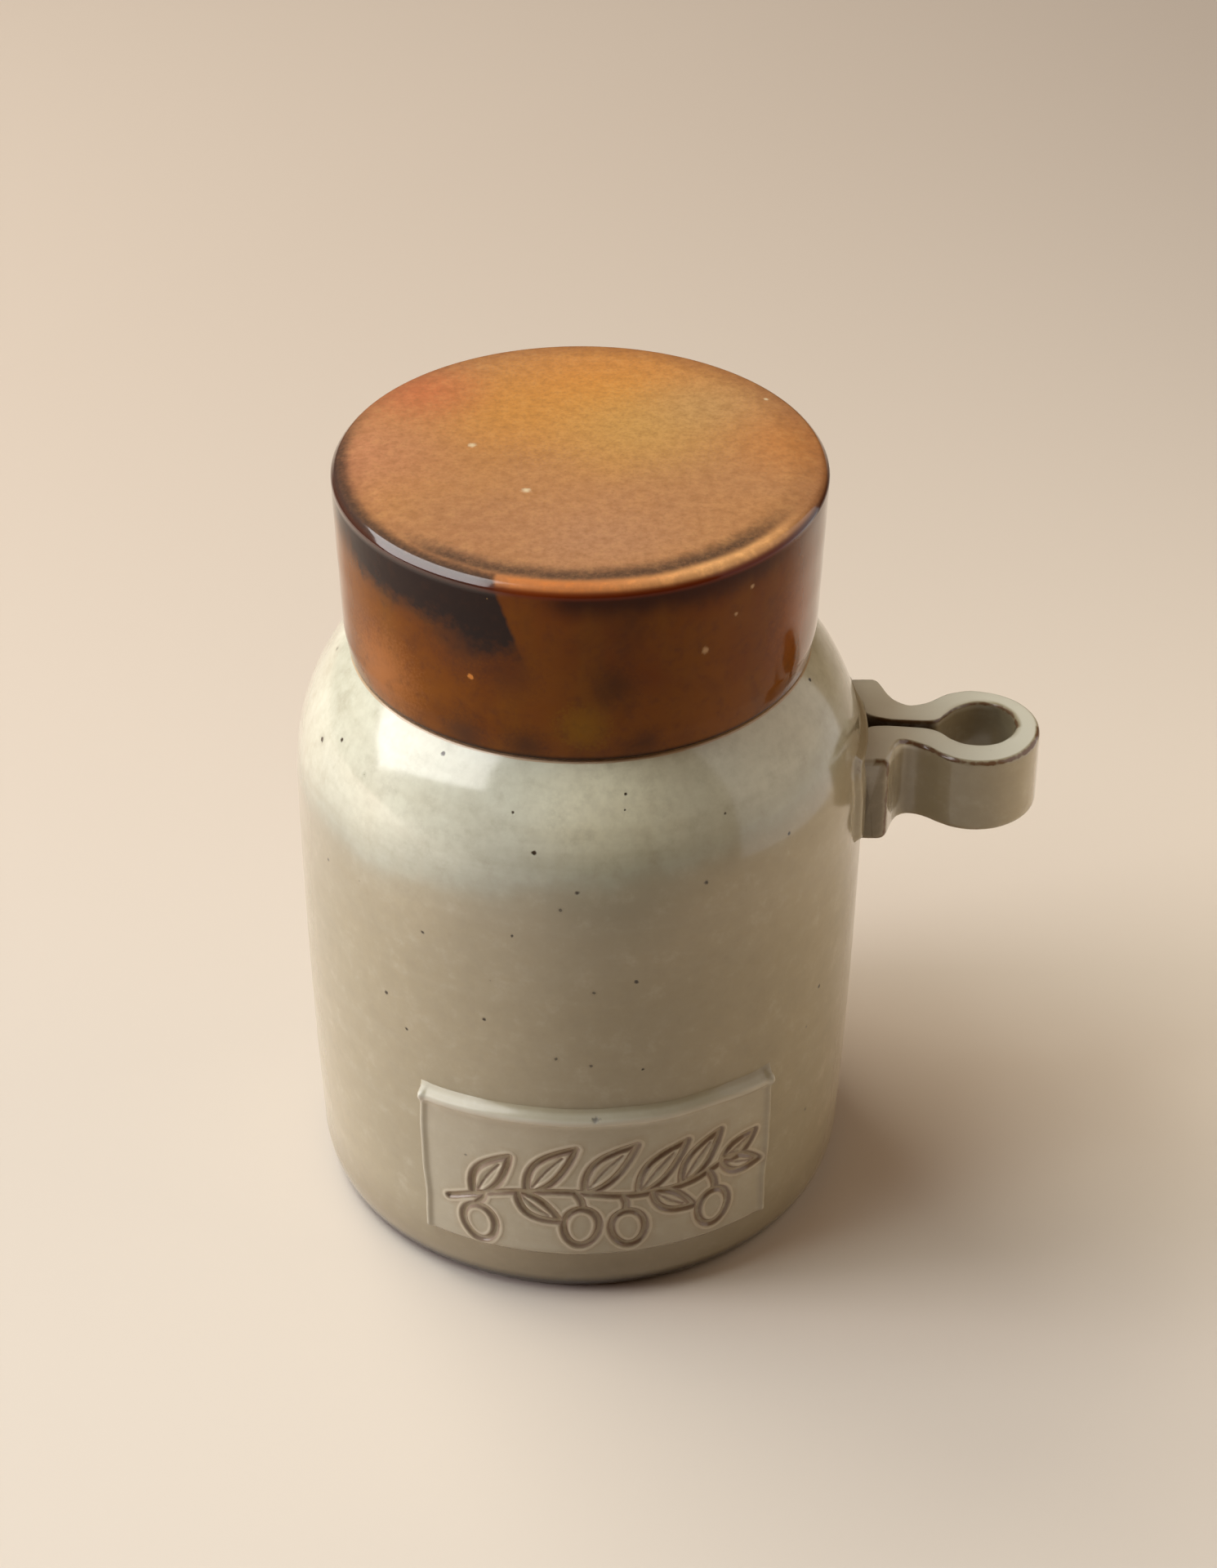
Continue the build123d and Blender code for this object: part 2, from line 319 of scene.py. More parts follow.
NECK, RIM = SEAT_RADIUS - SEAT_WIDTH, SEAT + NECK_HEIGHT
MOUTH = NECK - NECK_WALL


def wall_radius(height):
    """Outside radius of the pot's wall at one or many heights, in millimetres."""
    climb = np.asarray(height, float) - SHOULDER_HEIGHT
    low = BODY_RADIUS - SWEEP + np.sqrt(SWEEP ** 2 - climb ** 2)
    high = SHOULDER_CENTRE + SHOULDER_REACH * np.sqrt(np.clip(1 - (climb / SHOULDER_RISE) ** 2, 0, 1))
    return np.where(climb > 0, high, low)


print("wall radius at heel and shoulder", wall_radius([HEEL_HEIGHT, SHOULDER_HEIGHT]).round(2))

# %% [markdown]
# A single mark. A few pinholes and iron spots are placed one by one where the eye looks for
# them: the group measures the distance from one place and puts out a soft round mask.

# %% Shader group: one mark
mark_group, given, result = new_group(
    "one_mark", "ShaderNodeTree",
    [("Vector", "Vector", None), ("Place", "Vector", None), ("Size", "Float", 0.001),
     ("Softness", "Float", 0.5)],
    [("Mask", "Float", None)])
apart = vector_maths("DISTANCE", given["Vector"], given["Place"], output=1)
apart = times(apart, times_plus(noise(given["Vector"], 1500.0, 1.0), 1.0, 0.5))
inner = times(given["Size"], minus(1.0, given["Softness"]))
wire(remap(apart, given["Size"], inner), result["Mask"])


def marks(vector, rows, softness=0.5):
    """The masks of several marks, laid over each other. rows are (x, y, z, size) in millimetres."""
    total = None
    for x, y, z, size in rows:
        one = place_group(mark_group, Vector=vector, Place=(x * MM, y * MM, z * MM),
                          Size=size * MM, Softness=softness)["Mask"]
        total = one if total is None else larger(total, one)
    return total


def on_wall(angle, height, size, radius=None):
    """A mark on a turned wall, from its angle in degrees, height and size in millimetres."""
    a, radius = math.radians(angle), radius or float(wall_radius(height))
    return radius * math.cos(a), radius * math.sin(a), height, size


def soft_patches(vector, rows):
    """Layers of one soft round patch each. rows are ((x, y, z, size), strength, hue)."""
    return [(marks(vector, [place], 1.0), strength, hue) for place, strength, hue in rows]


print("shader groups", [g.name for g in bpy.data.node_groups])

# %% [markdown]
# What both glazes need: a new material with its coordinates at hand, the numbers that a mesh
# carries, and the last wires into the shader. Object coordinates keep the glaze still when the
# piece moves. A glaze is a thin clear skin over a coloured one, so the gloss is in the coat.

# %% Helpers for the glazes
def start_material(name):
    """A material with a Principled BSDF, the piece's own coordinates and their parts."""
    material = bpy.data.materials.new(name)
    material.use_nodes = True
    shader = open_tree(material.node_tree).nodes["Principled BSDF"]
    here = add_node("ShaderNodeTexCoord").outputs["Object"]
    return material, shader, here, *add_node("ShaderNodeSeparateXYZ", {0: here}).outputs


def attribute(name):
    """A number that the mesh carries at each of its points."""
    return add_node("ShaderNodeAttribute", attribute_name=name).outputs["Fac"]


def frayed(vector, name, grain, fray, start, full):
    """A mask from one of the mesh's numbers, with a frayed edge."""
    return place_group(fray_group, Vector=vector, Edge=attribute(name), Grain=grain, Fray=fray,
                       Start=start, Full=full)["Mask"]


def finish_glaze(shader, colour, roughness, coat, coat_roughness, specular, bumps):
    """Wires a glaze into its shader. bumps are (height, depth in metres), each laid on the last."""
    shader.inputs["Coat Roughness"].default_value = coat_roughness
    shader.inputs["Specular IOR Level"].default_value = specular
    for value, socket in ((colour, "Base Color"), (roughness, "Roughness"), (coat, "Coat Weight")):
        wire(value, shader.inputs[socket])
    before = {}
    for height, depth in bumps:
        bump = add_node("ShaderNodeBump", {"Height": height, "Distance": depth, **before})
        before = {"Normal": bump.outputs["Normal"]}
    wire(before["Normal"], shader.inputs["Normal"])


# %% [markdown]
# The pale glaze: a grey-green, half-clear stoneware glaze, thick and cooler in a band over the
# shoulder, where the pot was dipped twice, and thinner and warmer below. Its lower edge wanders, so
# the band's mask compares the height with a slow noise. The other masks are noises too, drawn out
# along the runs of the glaze or along the rings that the fingers left.

# %% Material: pale glaze, its masks
BAND_HEIGHT, BAND_TILT, BAND_SOFTNESS, BAND_WANDER = 126.0 * MM, 0.115, 3.2 * MM, 13.0 * MM
pale_glaze, shader, here, x, y, z = start_material("pale_glaze")
slow = noise(here, 13.0, 3.0, 0.5, 0.4)
streaks = noise(stretch(here, (1.0, 1.0, 0.16)), 150.0, 3.0, 0.6)
rings = noise(stretch(here, (0.12, 0.12, 1.0)), 190.0, 3.0, 0.6)
fine = noise(here, 420.0, 3.0, 0.6)
mottle = noise(here, 170.0, 5.0, 0.7)
wander = times_plus(noise(stretch(here, (1.0, 1.0, 0.3)), 42.0, 3.0), BAND_WANDER, times(x, -BAND_TILT))
edge_height = plus(plus(z, wander), -BAND_WANDER / 2)
band = remap(edge_height, BAND_HEIGHT - BAND_SOFTNESS, BAND_HEIGHT + BAND_SOFTNESS)
band = times(band, remap(rings, 0.2, 0.65, 0.75, 1.0))
# Painted shade: darker along the band's lower edge, where the thick glaze rolls over and turns
# downwards.
painted_roll_shade = remap(maths("ABSOLUTE", minus(edge_height, BAND_HEIGHT)), 9 * MM, 0.0)
rise = times_plus(rings, 6 * MM, edge_height)
print("band of thick glaze above", round(BAND_HEIGHT, 4))

# %% [markdown]
# Its colours. Just above its lower edge the band is darker and greyer: painted shade where the thick
# glaze rolls over and faces downwards, with the glaze's own greyer tone. Three broad soft patches
# scale it: the first, high on the front shoulder, is a painted highlight for a broad soft reflection;
# the second darkens the band's lower edge at the front and the third lightens it at the front left.
# Mottling, fine grain and a browner foot are laid over them.

# %% Material: pale glaze, its colours
lower = blend_colour(remap(slow, 0.3, 0.7), (0.372, 0.312, 0.204), (0.340, 0.293, 0.200))
upper = blend_colour(remap(slow, 0.32, 0.68), (0.535, 0.525, 0.425), (0.590, 0.570, 0.450))
# Painted shade: the band starts dark and grey at its lower edge and reaches full brightness some 17 mm
# higher; the grey is also the glaze's own tone.
clear_of_roll_shade = remap(rise, BAND_HEIGHT + 1 * MM, BAND_HEIGHT + 17 * MM)
upper = blend_colour(clear_of_roll_shade, (0.370, 0.362, 0.285), upper)
colour = lay_over(blend_colour(band, lower, upper), [
    (painted_roll_shade, 0.25, (0.378, 0.368, 0.295)),
    (remap(streaks, 0.35, 0.75), 0.16, (0.36, 0.30, 0.20)),
    (remap(rings, 0.45, 0.8), 0.07, (0.56, 0.52, 0.42))])
# Three soft patches scale the colour: the first, high on the front shoulder, is a painted highlight for
# a broad soft reflection; the second darkens the band's lower edge at the front and the third lightens
# it at the front left.
for angle, height, reach, change in ((-86, 143.0, 26, (1.42, 1.38, 1.30)),
                                     (-83, 124.0, 24, (0.84, 0.86, 0.85)),
                                     (-128, 125.0, 26, (1.15, 1.15, 1.15))):
    place = tuple(MM * part for part in on_wall(angle, height, 0)[:3])
    near = remap(vector_maths("DISTANCE", here, place, output=1), reach * MM, 3 * MM)
    colour = blend_colour(near, colour, change, "MULTIPLY")
colour = lay_over(colour, [
    (remap(mottle, 0.45, 0.8), 0.34, (0.27, 0.225, 0.150)),
    (remap(mottle, 0.5, 0.2), 0.22, (0.62, 0.57, 0.46)),
    (remap(fine, 0.3, 0.75), 0.20, (0.33, 0.29, 0.21)),
    (remap(z, 24 * MM, 6 * MM), 0.42, (0.150, 0.106, 0.058))])
print("pale glaze so far", len(bench.nodes), "nodes")

# %% [markdown]
# Its iron specks. Two sizes are scattered by the speck group. Those that the eye would miss are
# placed one by one, as angle round the pot, height and size, and one large spot sits on the
# tablet's bevel, a little off the wall.

# %% Material: pale glaze, its specks
small = place_group(speck_group, Vector=here, Spacing=0.0075, Size=0.00034, Share=0.34)
large = place_group(speck_group, Vector=here, Spacing=0.021, Size=0.00062, Share=0.36)
SPECKS = [(-124, 149.5, 0.75), (-105, 142, 0.5), (-100, 134, 0.75), (-91.5, 125, 0.7),
          (-123, 106.5, 0.65), (-104, 112, 0.55), (-80, 99, 0.8), (-110, 86, 0.65),
          (-128, 75, 0.65), (-78.5, 72.5, 0.6), (-45.5, 127, 0.7), (-66, 123.5, 0.7),
          (-81, 146, 0.5), (-81.5, 143, 0.4), (-153, 141, 0.8), (-151, 110, 0.6),
          (-19, 150, 0.7), (-33.5, 74, 0.7), (-133, 83, 0.8), (-88, 60.5, 1.4, 70.9),
          (-60, 138, 0.5)]
placed = marks(here, [on_wall(*row) for row in SPECKS], 0.55)
speck = larger(larger(times(small["Speck"], 0.75), large["Speck"]), placed)
halo = larger(larger(small["Halo"], large["Halo"]), placed)
colour = lay_over(colour, [(halo, 0.22, (0.20, 0.17, 0.11)), (speck, 1.0, (0.045, 0.030, 0.018))])
print("specks placed by hand", len(SPECKS))

# %% [markdown]
# Where it breaks and ends, and where light and shade are painted. On sharp clay it breaks to rust, in
# the cuts it lies brown, and on the burrs beside the cuts it is pale. A painted highlight makes the
# strap's level top and the tablet's raised face paler, most of all its top bevel; on the strap it also
# stands for glaze lying thicker there. Painted shade darkens the slot and the near foot's end face,
# and a near-black band just above the base is a painted contact shadow under the heel. The seat, the
# rims and the base stay bare, because glaze there would weld the pot to its lid or to the kiln.

# %% Material: pale glaze, where it breaks and ends, and its painted light and shade
bare = frayed(here, "bare", 500.0, 0.25, 0.45, 0.55)
# Painted shade: the slot, darkest near the wall, and the near foot's end face are painted near-black and
# lose their gloss.
painted_shade = times(attribute("painted_shade"), remap(mottle, 0.25, 0.6, 0.75, 1.0))
wash = times(attribute("wash"), remap(mottle, 0.3, 0.65, 0.25, 0.70))
colour = lay_over(colour, [
    (wash, 1.0, (0.235, 0.150, 0.055)),
    (frayed(here, "burr", 900.0, 0.45, 0.35, 0.80), 0.35, (0.66, 0.56, 0.42)),
    (frayed(here, "groove", 900.0, 0.55, 0.22, 0.75), 0.88, (0.150, 0.070, 0.026)),
    (frayed(here, "arris", 620.0, 0.85, 0.50, 0.95), 0.9, (0.140, 0.064, 0.030)),
    (bare, 1.0, blend_colour(fine, (0.40, 0.27, 0.16), (0.52, 0.38, 0.25))),
    # Painted highlight: the strap's level top and the tablet's raised face, most of all its bevel, are
    # paler.
    (attribute("painted_highlight"), 0.75, (0.760, 0.725, 0.635)),
    (painted_shade, 1.0, (0.060, 0.032, 0.015)),
    # Painted contact shadow: near-black in the last few millimetres above the base, under the heel.
    (remap(z, 6.8 * MM, 2.6 * MM), 0.94, (0.022, 0.014, 0.009))])
coat = larger(remap(z, 90 * MM, 118 * MM, 0.55, 1.0), remap(x, 70.5 * MM, 72.0 * MM))
coat = times(larger(coat, attribute("arris")), minus(1.0, painted_shade))
gloss = remap(noise(here, 60.0, 3.0), 0.3, 0.7, 0.16, 0.26)
gloss = times_plus(speck, 0.2, times_plus(bare, 0.55, gloss))
finish_glaze(shader, colour, gloss, coat, 0.12, 0.18, [
    (noise(here, 95.0, 2.0), 0.12 * MM), (fine, 0.025 * MM), (times(speck, -1.0), 0.10 * MM)])
print("pale glaze has", len(bench.nodes), "nodes")

# %% [markdown]
# The rust glaze: an iron glaze that fires golden where it lies thick and level on the top of the
# lid, red-brown towards its edge and on its side, and nearly black where smoke lay against it. An
# image could carry such clouds, but it would have to be painted to fit. Here masks are measured
# from the lid's own coordinates: distance from the axis, angle round it and depth below the top.

# %% Material: rust glaze, its masks
LID_TOP, LID_RADIUS, LID_HEIGHT = 200.0 * MM, 57.95 * MM, 48.2 * MM
SMOKE_EDGE, SMOKE_SLANT = -1.935, 6.1
rust_glaze, shader, here, x, y, z = start_material("rust_glaze")
flat = add_node("ShaderNodeCombineXYZ", {0: x, 1: y, 2: 0.0}).outputs[0]
out_share = over(vector_maths("LENGTH", flat, output=1), LID_RADIUS)
below, angle = minus(LID_TOP, z), maths("ARCTAN2", y, x)
slow = noise(here, 22.0, 3.0, 0.55, 0.6)
patches = noise(here, 55.0, 4.0, 0.6, 0.5)
grain = noise(here, 900.0, 3.0, 0.65)
dust = noise(here, 330.0, 4.0, 0.65)
runs = noise(stretch(here, (1.0, 1.0, 0.2)), 95.0, 3.0, 0.55)
on_top = remap(below, 2.9 * MM, 1.5 * MM)
slanted = times_plus(minus(dust, 0.5), 0.03, times_plus(below, -SMOKE_SLANT, angle))
smoky = larger(remap(slanted, SMOKE_EDGE + 0.012, SMOKE_EDGE - 0.012), remap(angle, 2.6, 3.1))
ring_at = times_plus(dust, 0.022, times_plus(patches, 0.022, out_share))
not_right = remap(angle, -0.35, -0.85)
front_right = times(remap(times_plus(dust, 0.10, angle), -2.02, -1.72), not_right)
in_front = times(remap(angle, -2.55, -2.15), not_right)
print("smoke ends at", round(math.degrees(SMOKE_EDGE), 1), "degrees")

# %% [markdown]
# The lid's top. Soft round patches of gold, tan and red are laid over each other, each given by its
# place and size in millimetres, and dust and grain break them up.

# %% Material: rust glaze, the top
TOP_PATCHES = [((6, 28, 200, 42), 0.85, (0.60, 0.228, 0.040)),
               ((-18, 22, 200, 30), 0.55, (0.52, 0.225, 0.048)),
               ((14, 14, 200, 34), 0.75, (0.47, 0.265, 0.085)),
               ((30, 24, 200, 22), 0.55, (0.43, 0.255, 0.110)),
               ((-51, 2, 200, 32), 0.75, (0.50, 0.205, 0.108)),
               ((-37, 32, 200, 22), 0.75, (0.50, 0.135, 0.058)),
               ((2, -38, 200, 34), 0.70, (0.40, 0.195, 0.110)),
               ((-26, -34, 200, 28), 0.60, (0.37, 0.168, 0.088)),
               ((52, 6, 200, 26), 0.60, (0.46, 0.165, 0.042))]
top = blend_colour(remap(slow, 0.35, 0.65), (0.41, 0.190, 0.083), (0.44, 0.198, 0.076))
top = lay_over(top, soft_patches(here, TOP_PATCHES) + [
    (remap(dust, 0.42, 0.75), 0.36, (0.24, 0.105, 0.035)),
    (remap(dust, 0.55, 0.25), 0.22, (0.62, 0.33, 0.12)),
    (remap(grain, 0.42, 0.75), 0.38, (0.22, 0.110, 0.050))])
print("patches on the lid's top", len(TOP_PATCHES))

# %% [markdown]
# A dark ring runs inside the top's edge on the front: painted shade where the top begins to fall
# towards its edge. On the left it merges with the smoke, which reaches the edge itself, and on the
# right a golden band is left outside it: the glaze's gold, lying thickest there, with a painted
# highlight that stands for the faint reflection of the board on the right. Three pale crystals lie on
# the top.

# %% Material: rust glaze, the rings on the top
rim_brown = times(remap(ring_at, 0.84, 1.02), remap(angle, -2.9, -2.4, 1.0, 0.4))
rim_brown = times(rim_brown, remap(y, -5 * MM, 30 * MM, 0.70, 1.0))
# The golden band is the glaze's gold with a painted highlight in it, standing for the faint reflection
# of the board on the right.
gold_and_painted_highlight = times(remap(ring_at, 0.935, 0.975), front_right)
gold_and_painted_highlight = times(gold_and_painted_highlight, remap(dust, 0.3, 0.6, 0.95, 0.55))
gold_hue = blend_colour(remap(angle, -1.65, -1.0), (0.60, 0.185, 0.045), (0.82, 0.410, 0.160))
# Painted shade: a dark ring inside the edge on the front only, where the top begins to fall towards its
# edge; on the left it joins the smoke.
ring = times(times(remap(ring_at, 0.850, 0.928), remap(ring_at, 0.972, 0.930)), in_front)
smoke_top = times(remap(ring_at, 0.925, 0.985), smoky)
ring = times(larger(times(ring, 0.82), times(smoke_top, 0.86)), remap(grain, 0.25, 0.6, 0.72, 1.0))
stars = marks(here, [(-12.5, -15.5, 200, 1.5), (-25.0, 5.5, 200, 1.4), (44.5, 27.5, 199.6, 0.9)], 0.9)
top = lay_over(top, [(rim_brown, 0.90, (0.15, 0.048, 0.030)), (gold_and_painted_highlight, 1.0, gold_hue),
                     (ring, 1.0, (0.058, 0.036, 0.026)), (stars, 0.65, (0.72, 0.60, 0.40))])
print("rust glaze so far", len(bench.nodes), "nodes")

# %% [markdown]
# The lid's side is darker: a red-brown with lighter runs, a near-black cloud on the left with a
# sharp slanting right edge, where something shielded the lid from the smoke, a dark red zone under
# the edge on the right, and a thin near-black line at its foot that is painted shadow where the lid
# meets the seat.

# %% Material: rust glaze, the side
SIDE_PATCHES = [((-46, -33, 163, 17), 0.80, (0.34, 0.120, 0.030)),
                ((-27, -50, 181, 13), 0.60, (0.055, 0.020, 0.012)),
                ((-17, -54, 175, 11), 0.55, (0.070, 0.018, 0.006)),
                ((-27, -49, 156, 9), 0.65, (0.040, 0.018, 0.010)),
                ((-13, -55, 156, 8), 0.65, (0.035, 0.012, 0.006)),
                ((0, -57, 162, 9), 0.80, (0.230, 0.100, 0.003)),
                ((7, -56, 173, 8), 0.60, (0.045, 0.014, 0.003)),
                ((14, -55, 156, 7), 0.55, (0.040, 0.012, 0.003)),
                ((28, -50, 164, 14), 0.60, (0.190, 0.060, 0.004)),
                ((-6, -57, 193, 9), 0.60, (0.190, 0.045, 0.003)),
                ((50, -27, 174, 17), 0.60, (0.280, 0.070, 0.004))]
FLECKS = [(-61.5, 178.5, 1.3, 57.0), (-53.5, 185.5, 0.7, 57.3), (-49.0, 191.0, 0.8, 57.5)]
cloud_foot = remap(angle, -math.pi, SMOKE_EDGE, 8.5 * MM, 19 * MM, soft=False)
hang = times_plus(dust, 11 * MM, minus(times_plus(patches, 16 * MM, below), cloud_foot))
cloud = times(remap(hang, 19 * MM, 8 * MM), smoky)
under = times(remap(times_plus(runs, 6 * MM, below), 15 * MM, 7 * MM), remap(angle, -1.80, -1.62))
under = times(under, remap(angle, -0.55, -0.85, 0.35, 0.88))
# Painted shadow: a thin near-black line where the lid's foot meets the seat.
foot_shadow_line = remap(below, LID_HEIGHT - 2.2 * MM, LID_HEIGHT - 0.8 * MM)
side = blend_colour(remap(slow, 0.35, 0.65), (0.140, 0.034, 0.0020), (0.175, 0.052, 0.0025))
side = lay_over(side, [
    (remap(runs, 0.45, 0.75), 0.40, (0.170, 0.064, 0.004)),
    (remap(patches, 0.48, 0.75), 0.50, (0.055, 0.013, 0.003)), *soft_patches(here, SIDE_PATCHES),
    (cloud, 0.94, (0.014, 0.010, 0.010)), (remap(dust, 0.45, 0.8), 0.35, (0.050, 0.018, 0.009)),
    (under, 1.0, (0.030, 0.004, 0.0005)), (foot_shadow_line, 0.9, (0.012, 0.007, 0.005)),
    (marks(here, [on_wall(*row) for row in FLECKS], 0.8), 0.6, (0.60, 0.40, 0.22)),
    (marks(here, [on_wall(-116.5, 172.5, 0.9, 56.8)], 0.5), 1.0, (0.55, 0.20, 0.04))])
print("patches on the lid's side", len(SIDE_PATCHES))

# %% [markdown]
# The two halves meet on the rounded edge, where the glaze runs thin and dark, and the clay rim
# stays bare. The top is satin. The side mirrors the room only at its far left and right, and the
# edge on the left, which gives its white line.

# %% Material: rust glaze, the whole
edge_hue = blend_colour(front_right, (0.060, 0.022, 0.014), (0.140, 0.020, 0.004))
roll_over = times(remap(below, 0.6 * MM, 1.6 * MM), times(smoky, on_top))
turning = remap(maths("ABSOLUTE", minus(below, 2.8 * MM)), 1.4 * MM, 0.3 * MM)
specks = place_group(speck_group, Vector=here, Spacing=0.011, Size=0.00030, Share=0.3)
bare = frayed(here, "bare", 500.0, 0.25, 0.45, 0.55)
colour = lay_over(blend_colour(on_top, side, top), [
    (roll_over, 0.85, (0.045, 0.026, 0.020)), (turning, 0.8, edge_hue),
    (specks["Speck"], 0.35, (0.62, 0.36, 0.12)),
    (bare, 1.0, blend_colour(dust, (0.36, 0.22, 0.12), (0.50, 0.35, 0.22)))])
gloss = plus(remap(patches, 0.3, 0.7, -0.03, 0.05), remap(on_top, 0.0, 1.0, 0.10, 0.22))
edge_coat = times(remap(below, 0.7 * MM, 1.3 * MM), remap(below, 5.0 * MM, 3.2 * MM))
edge_coat = times(edge_coat, remap(front_right, 0.0, 1.0, 1.0, 0.12))
coat = times(remap(angle, -0.70, -0.38, 0.0, 0.72), remap(below, 1.5 * MM, 3.0 * MM))
coat = larger(coat, remap(maths("ABSOLUTE", angle), 2.75, 3.0, 0.0, 0.5))
coat = larger(larger(coat, edge_coat), 0.05)
finish_glaze(shader, colour, times_plus(bare, 0.5, gloss), coat, 0.07, 0.10, [
    (noise(here, 110.0, 2.0), 0.08 * MM), (dust, 0.02 * MM), (grain, 0.008 * MM)])
print("materials", [m.name for m in bpy.data.materials])

# %% [markdown]
# The potter's wheel. A pot and its lid are one drawn half section carried round the axis. It could
# be done with Spin or the Screw modifier; here it is a Geometry Nodes tree, because the same tree
# then turns both pieces and adds what the hand leaves: a shallow spiral ring at each turn of the
# wheel, and a slow wander out of round. The tree lays a grid whose columns are the steps round the
# axis and whose rows are the points of the section, and puts each grid point where it belongs.

# %% Geometry Nodes tree: the wheel, its grid
wheel, given, result = new_group(
    "potters_wheel", "GeometryNodeTree",
    [("Section", "Geometry", None), ("Steps round", "Int", 256), ("Ring depth", "Float", 0.00008),
     ("Ring pitch", "Float", 0.009), ("Wander", "Float", 0.0003), ("Seed", "Float", 1.0),
     ("Glaze", "Material", None)],
    [("Turned", "Geometry", None)])
count = add_node("GeometryNodeAttributeDomainSize", {0: given["Section"]}).outputs["Point Count"]
columns = plus(given["Steps round"], 1)
sheet = add_node("GeometryNodeMeshGrid", {"Vertices X": columns, "Vertices Y": count})
number = add_node("GeometryNodeInputIndex").outputs[0]
row = maths("FLOORED_MODULO", number, count)
column = maths("FLOOR", over(plus(number, 0.5), count))
turn = times(over(column, given["Steps round"]), 2 * math.pi)
cosine, sine = maths("COSINE", turn), maths("SINE", turn)


def from_section(data_type, value):
    """What the section holds at this row's point."""
    return add_node("GeometryNodeSampleIndex", {"Geometry": given["Section"], "Value": value,
                    "Index": row}, data_type=data_type).outputs[0]


position = add_node("GeometryNodeInputPosition").outputs[0]
bare_note = add_node("GeometryNodeInputNamedAttribute", {0: "bare"}, data_type="FLOAT").outputs[0]
at = add_node("ShaderNodeSeparateXYZ", {0: from_section("FLOAT_VECTOR", position)}).outputs
bare_here = from_section("FLOAT", bare_note)
print("wheel tree so far", len(wheel.nodes), "nodes")

# %% [markdown]
# The hand's part comes next: the spiral and the slow wander are cut from the radius, and fade out
# towards the axis, where there is nothing to cut. Then the points are placed, the first column is
# sewn to the last, and the glaze goes on.

# %% Geometry Nodes tree: the wheel, its hand
around = add_node("ShaderNodeCombineXYZ", {0: cosine, 1: sine, 2: times(at[2], 9.0)})
uneven = add_node("ShaderNodeTexNoise", {"Vector": around.outputs[0], "W": given["Seed"],
                  "Scale": 0.9, "Detail": 1.0}, noise_dimensions="4D").outputs[0]
spiral = maths("SINE", plus(turn, times(over(at[2], given["Ring pitch"]), 2 * math.pi)))
cut = plus(times(times_plus(spiral, 0.5, 0.5), given["Ring depth"]), times(uneven, given["Wander"]))
reach = minus(at[0], times(cut, remap(at[0], 4 * MM, 30 * MM)))
place = add_node("ShaderNodeCombineXYZ", {0: times(reach, cosine), 1: times(reach, sine), 2: at[2]})
placed = add_node("GeometryNodeSetPosition", {"Geometry": sheet.outputs["Mesh"],
                                              "Position": place.outputs[0]})
noted = add_node("GeometryNodeStoreNamedAttribute", {"Geometry": placed.outputs[0], "Name": "bare",
                 "Value": bare_here}, data_type="FLOAT", domain="POINT")
sewn = add_node("GeometryNodeMergeByDistance", {"Geometry": noted.outputs[0], "Distance": 0.002 * MM})
smooth = add_node("GeometryNodeSetShadeSmooth", {0: sewn.outputs[0]})
real = add_node("GeometryNodeRealizeInstances", {0: smooth.outputs[0]})
glazed = add_node("GeometryNodeSetMaterial", {"Geometry": real.outputs[0], "Material": given["Glaze"]})
wire(glazed.outputs[0], result["Turned"])
print("wheel tree has", len(wheel.nodes), "nodes")

# %% [markdown]
# Drawing a half section. Helpers draw it as a run of points: an arc of an ellipse, a straight line,
# and a broken line whose corners are rounded. Points lie close together on the rounds and further
# apart on the straights.

# %% Helpers for half sections
def bow(centre, reach, rise, start, end, steps):
    """Points on an ellipse round a centre, from one angle to another, in degrees."""
    angles = np.radians(np.linspace(start, end, steps + 1))
    return [(centre[0] + reach * math.cos(a), centre[1] + rise * math.sin(a)) for a in angles]


def run(first, last, steps):
    """Points along a straight line, without its last one."""
    return [(first[0] + (last[0] - first[0]) * n / steps, first[1] + (last[1] - first[1]) * n / steps)
            for n in range(steps)]


def straight_on(points, goal, spacing):
    """A run of points, carried straight on to its goal."""
    start = points[-1].copy()
    steps = max(1, round((goal - start).length / (spacing * 2)))
    return points + [start.lerp(goal, n / steps) for n in range(1, steps + 1)]


def soft_corners(corners, rounds, spacing):
    """A broken line with rounded corners, its points about one spacing apart."""
    corners = [Vector((a, b)) for a, b in corners]
    points = [corners[0]]
    for before, here, after, size in zip(corners, corners[1:], corners[2:], rounds):
        inward, outward = (before - here).normalized(), (after - here).normalized()
        half = inward.angle(outward) / 2
        back = size / math.tan(half)
        heart = here + (inward + outward).normalized() * (size / math.sin(half))
        first, last = here + inward * back - heart, here + outward * back - heart
        points = straight_on(points, heart + first, spacing)
        swing = first.angle_signed(last)
        steps = max(2, round(abs(swing) * size / spacing * 2) + 3)
        for n in range(1, steps + 1):
            a = -swing * n / steps
            points.append(heart + Vector((first.x * math.cos(a) - first.y * math.sin(a),
                                          first.x * math.sin(a) + first.y * math.cos(a))))
    return [(p.x, p.y) for p in straight_on(points, corners[-1], spacing)]


print("points on a bent line", len(soft_corners([(0, 9), (0, 0), (9, 0)], [2], 1)))

# %% [markdown]
# From points to finished pieces. A mesh may carry numbers at its points, which the glaze reads. The
# faces of a closed mesh have to look outwards, and the sign of its volume tells whether they do.

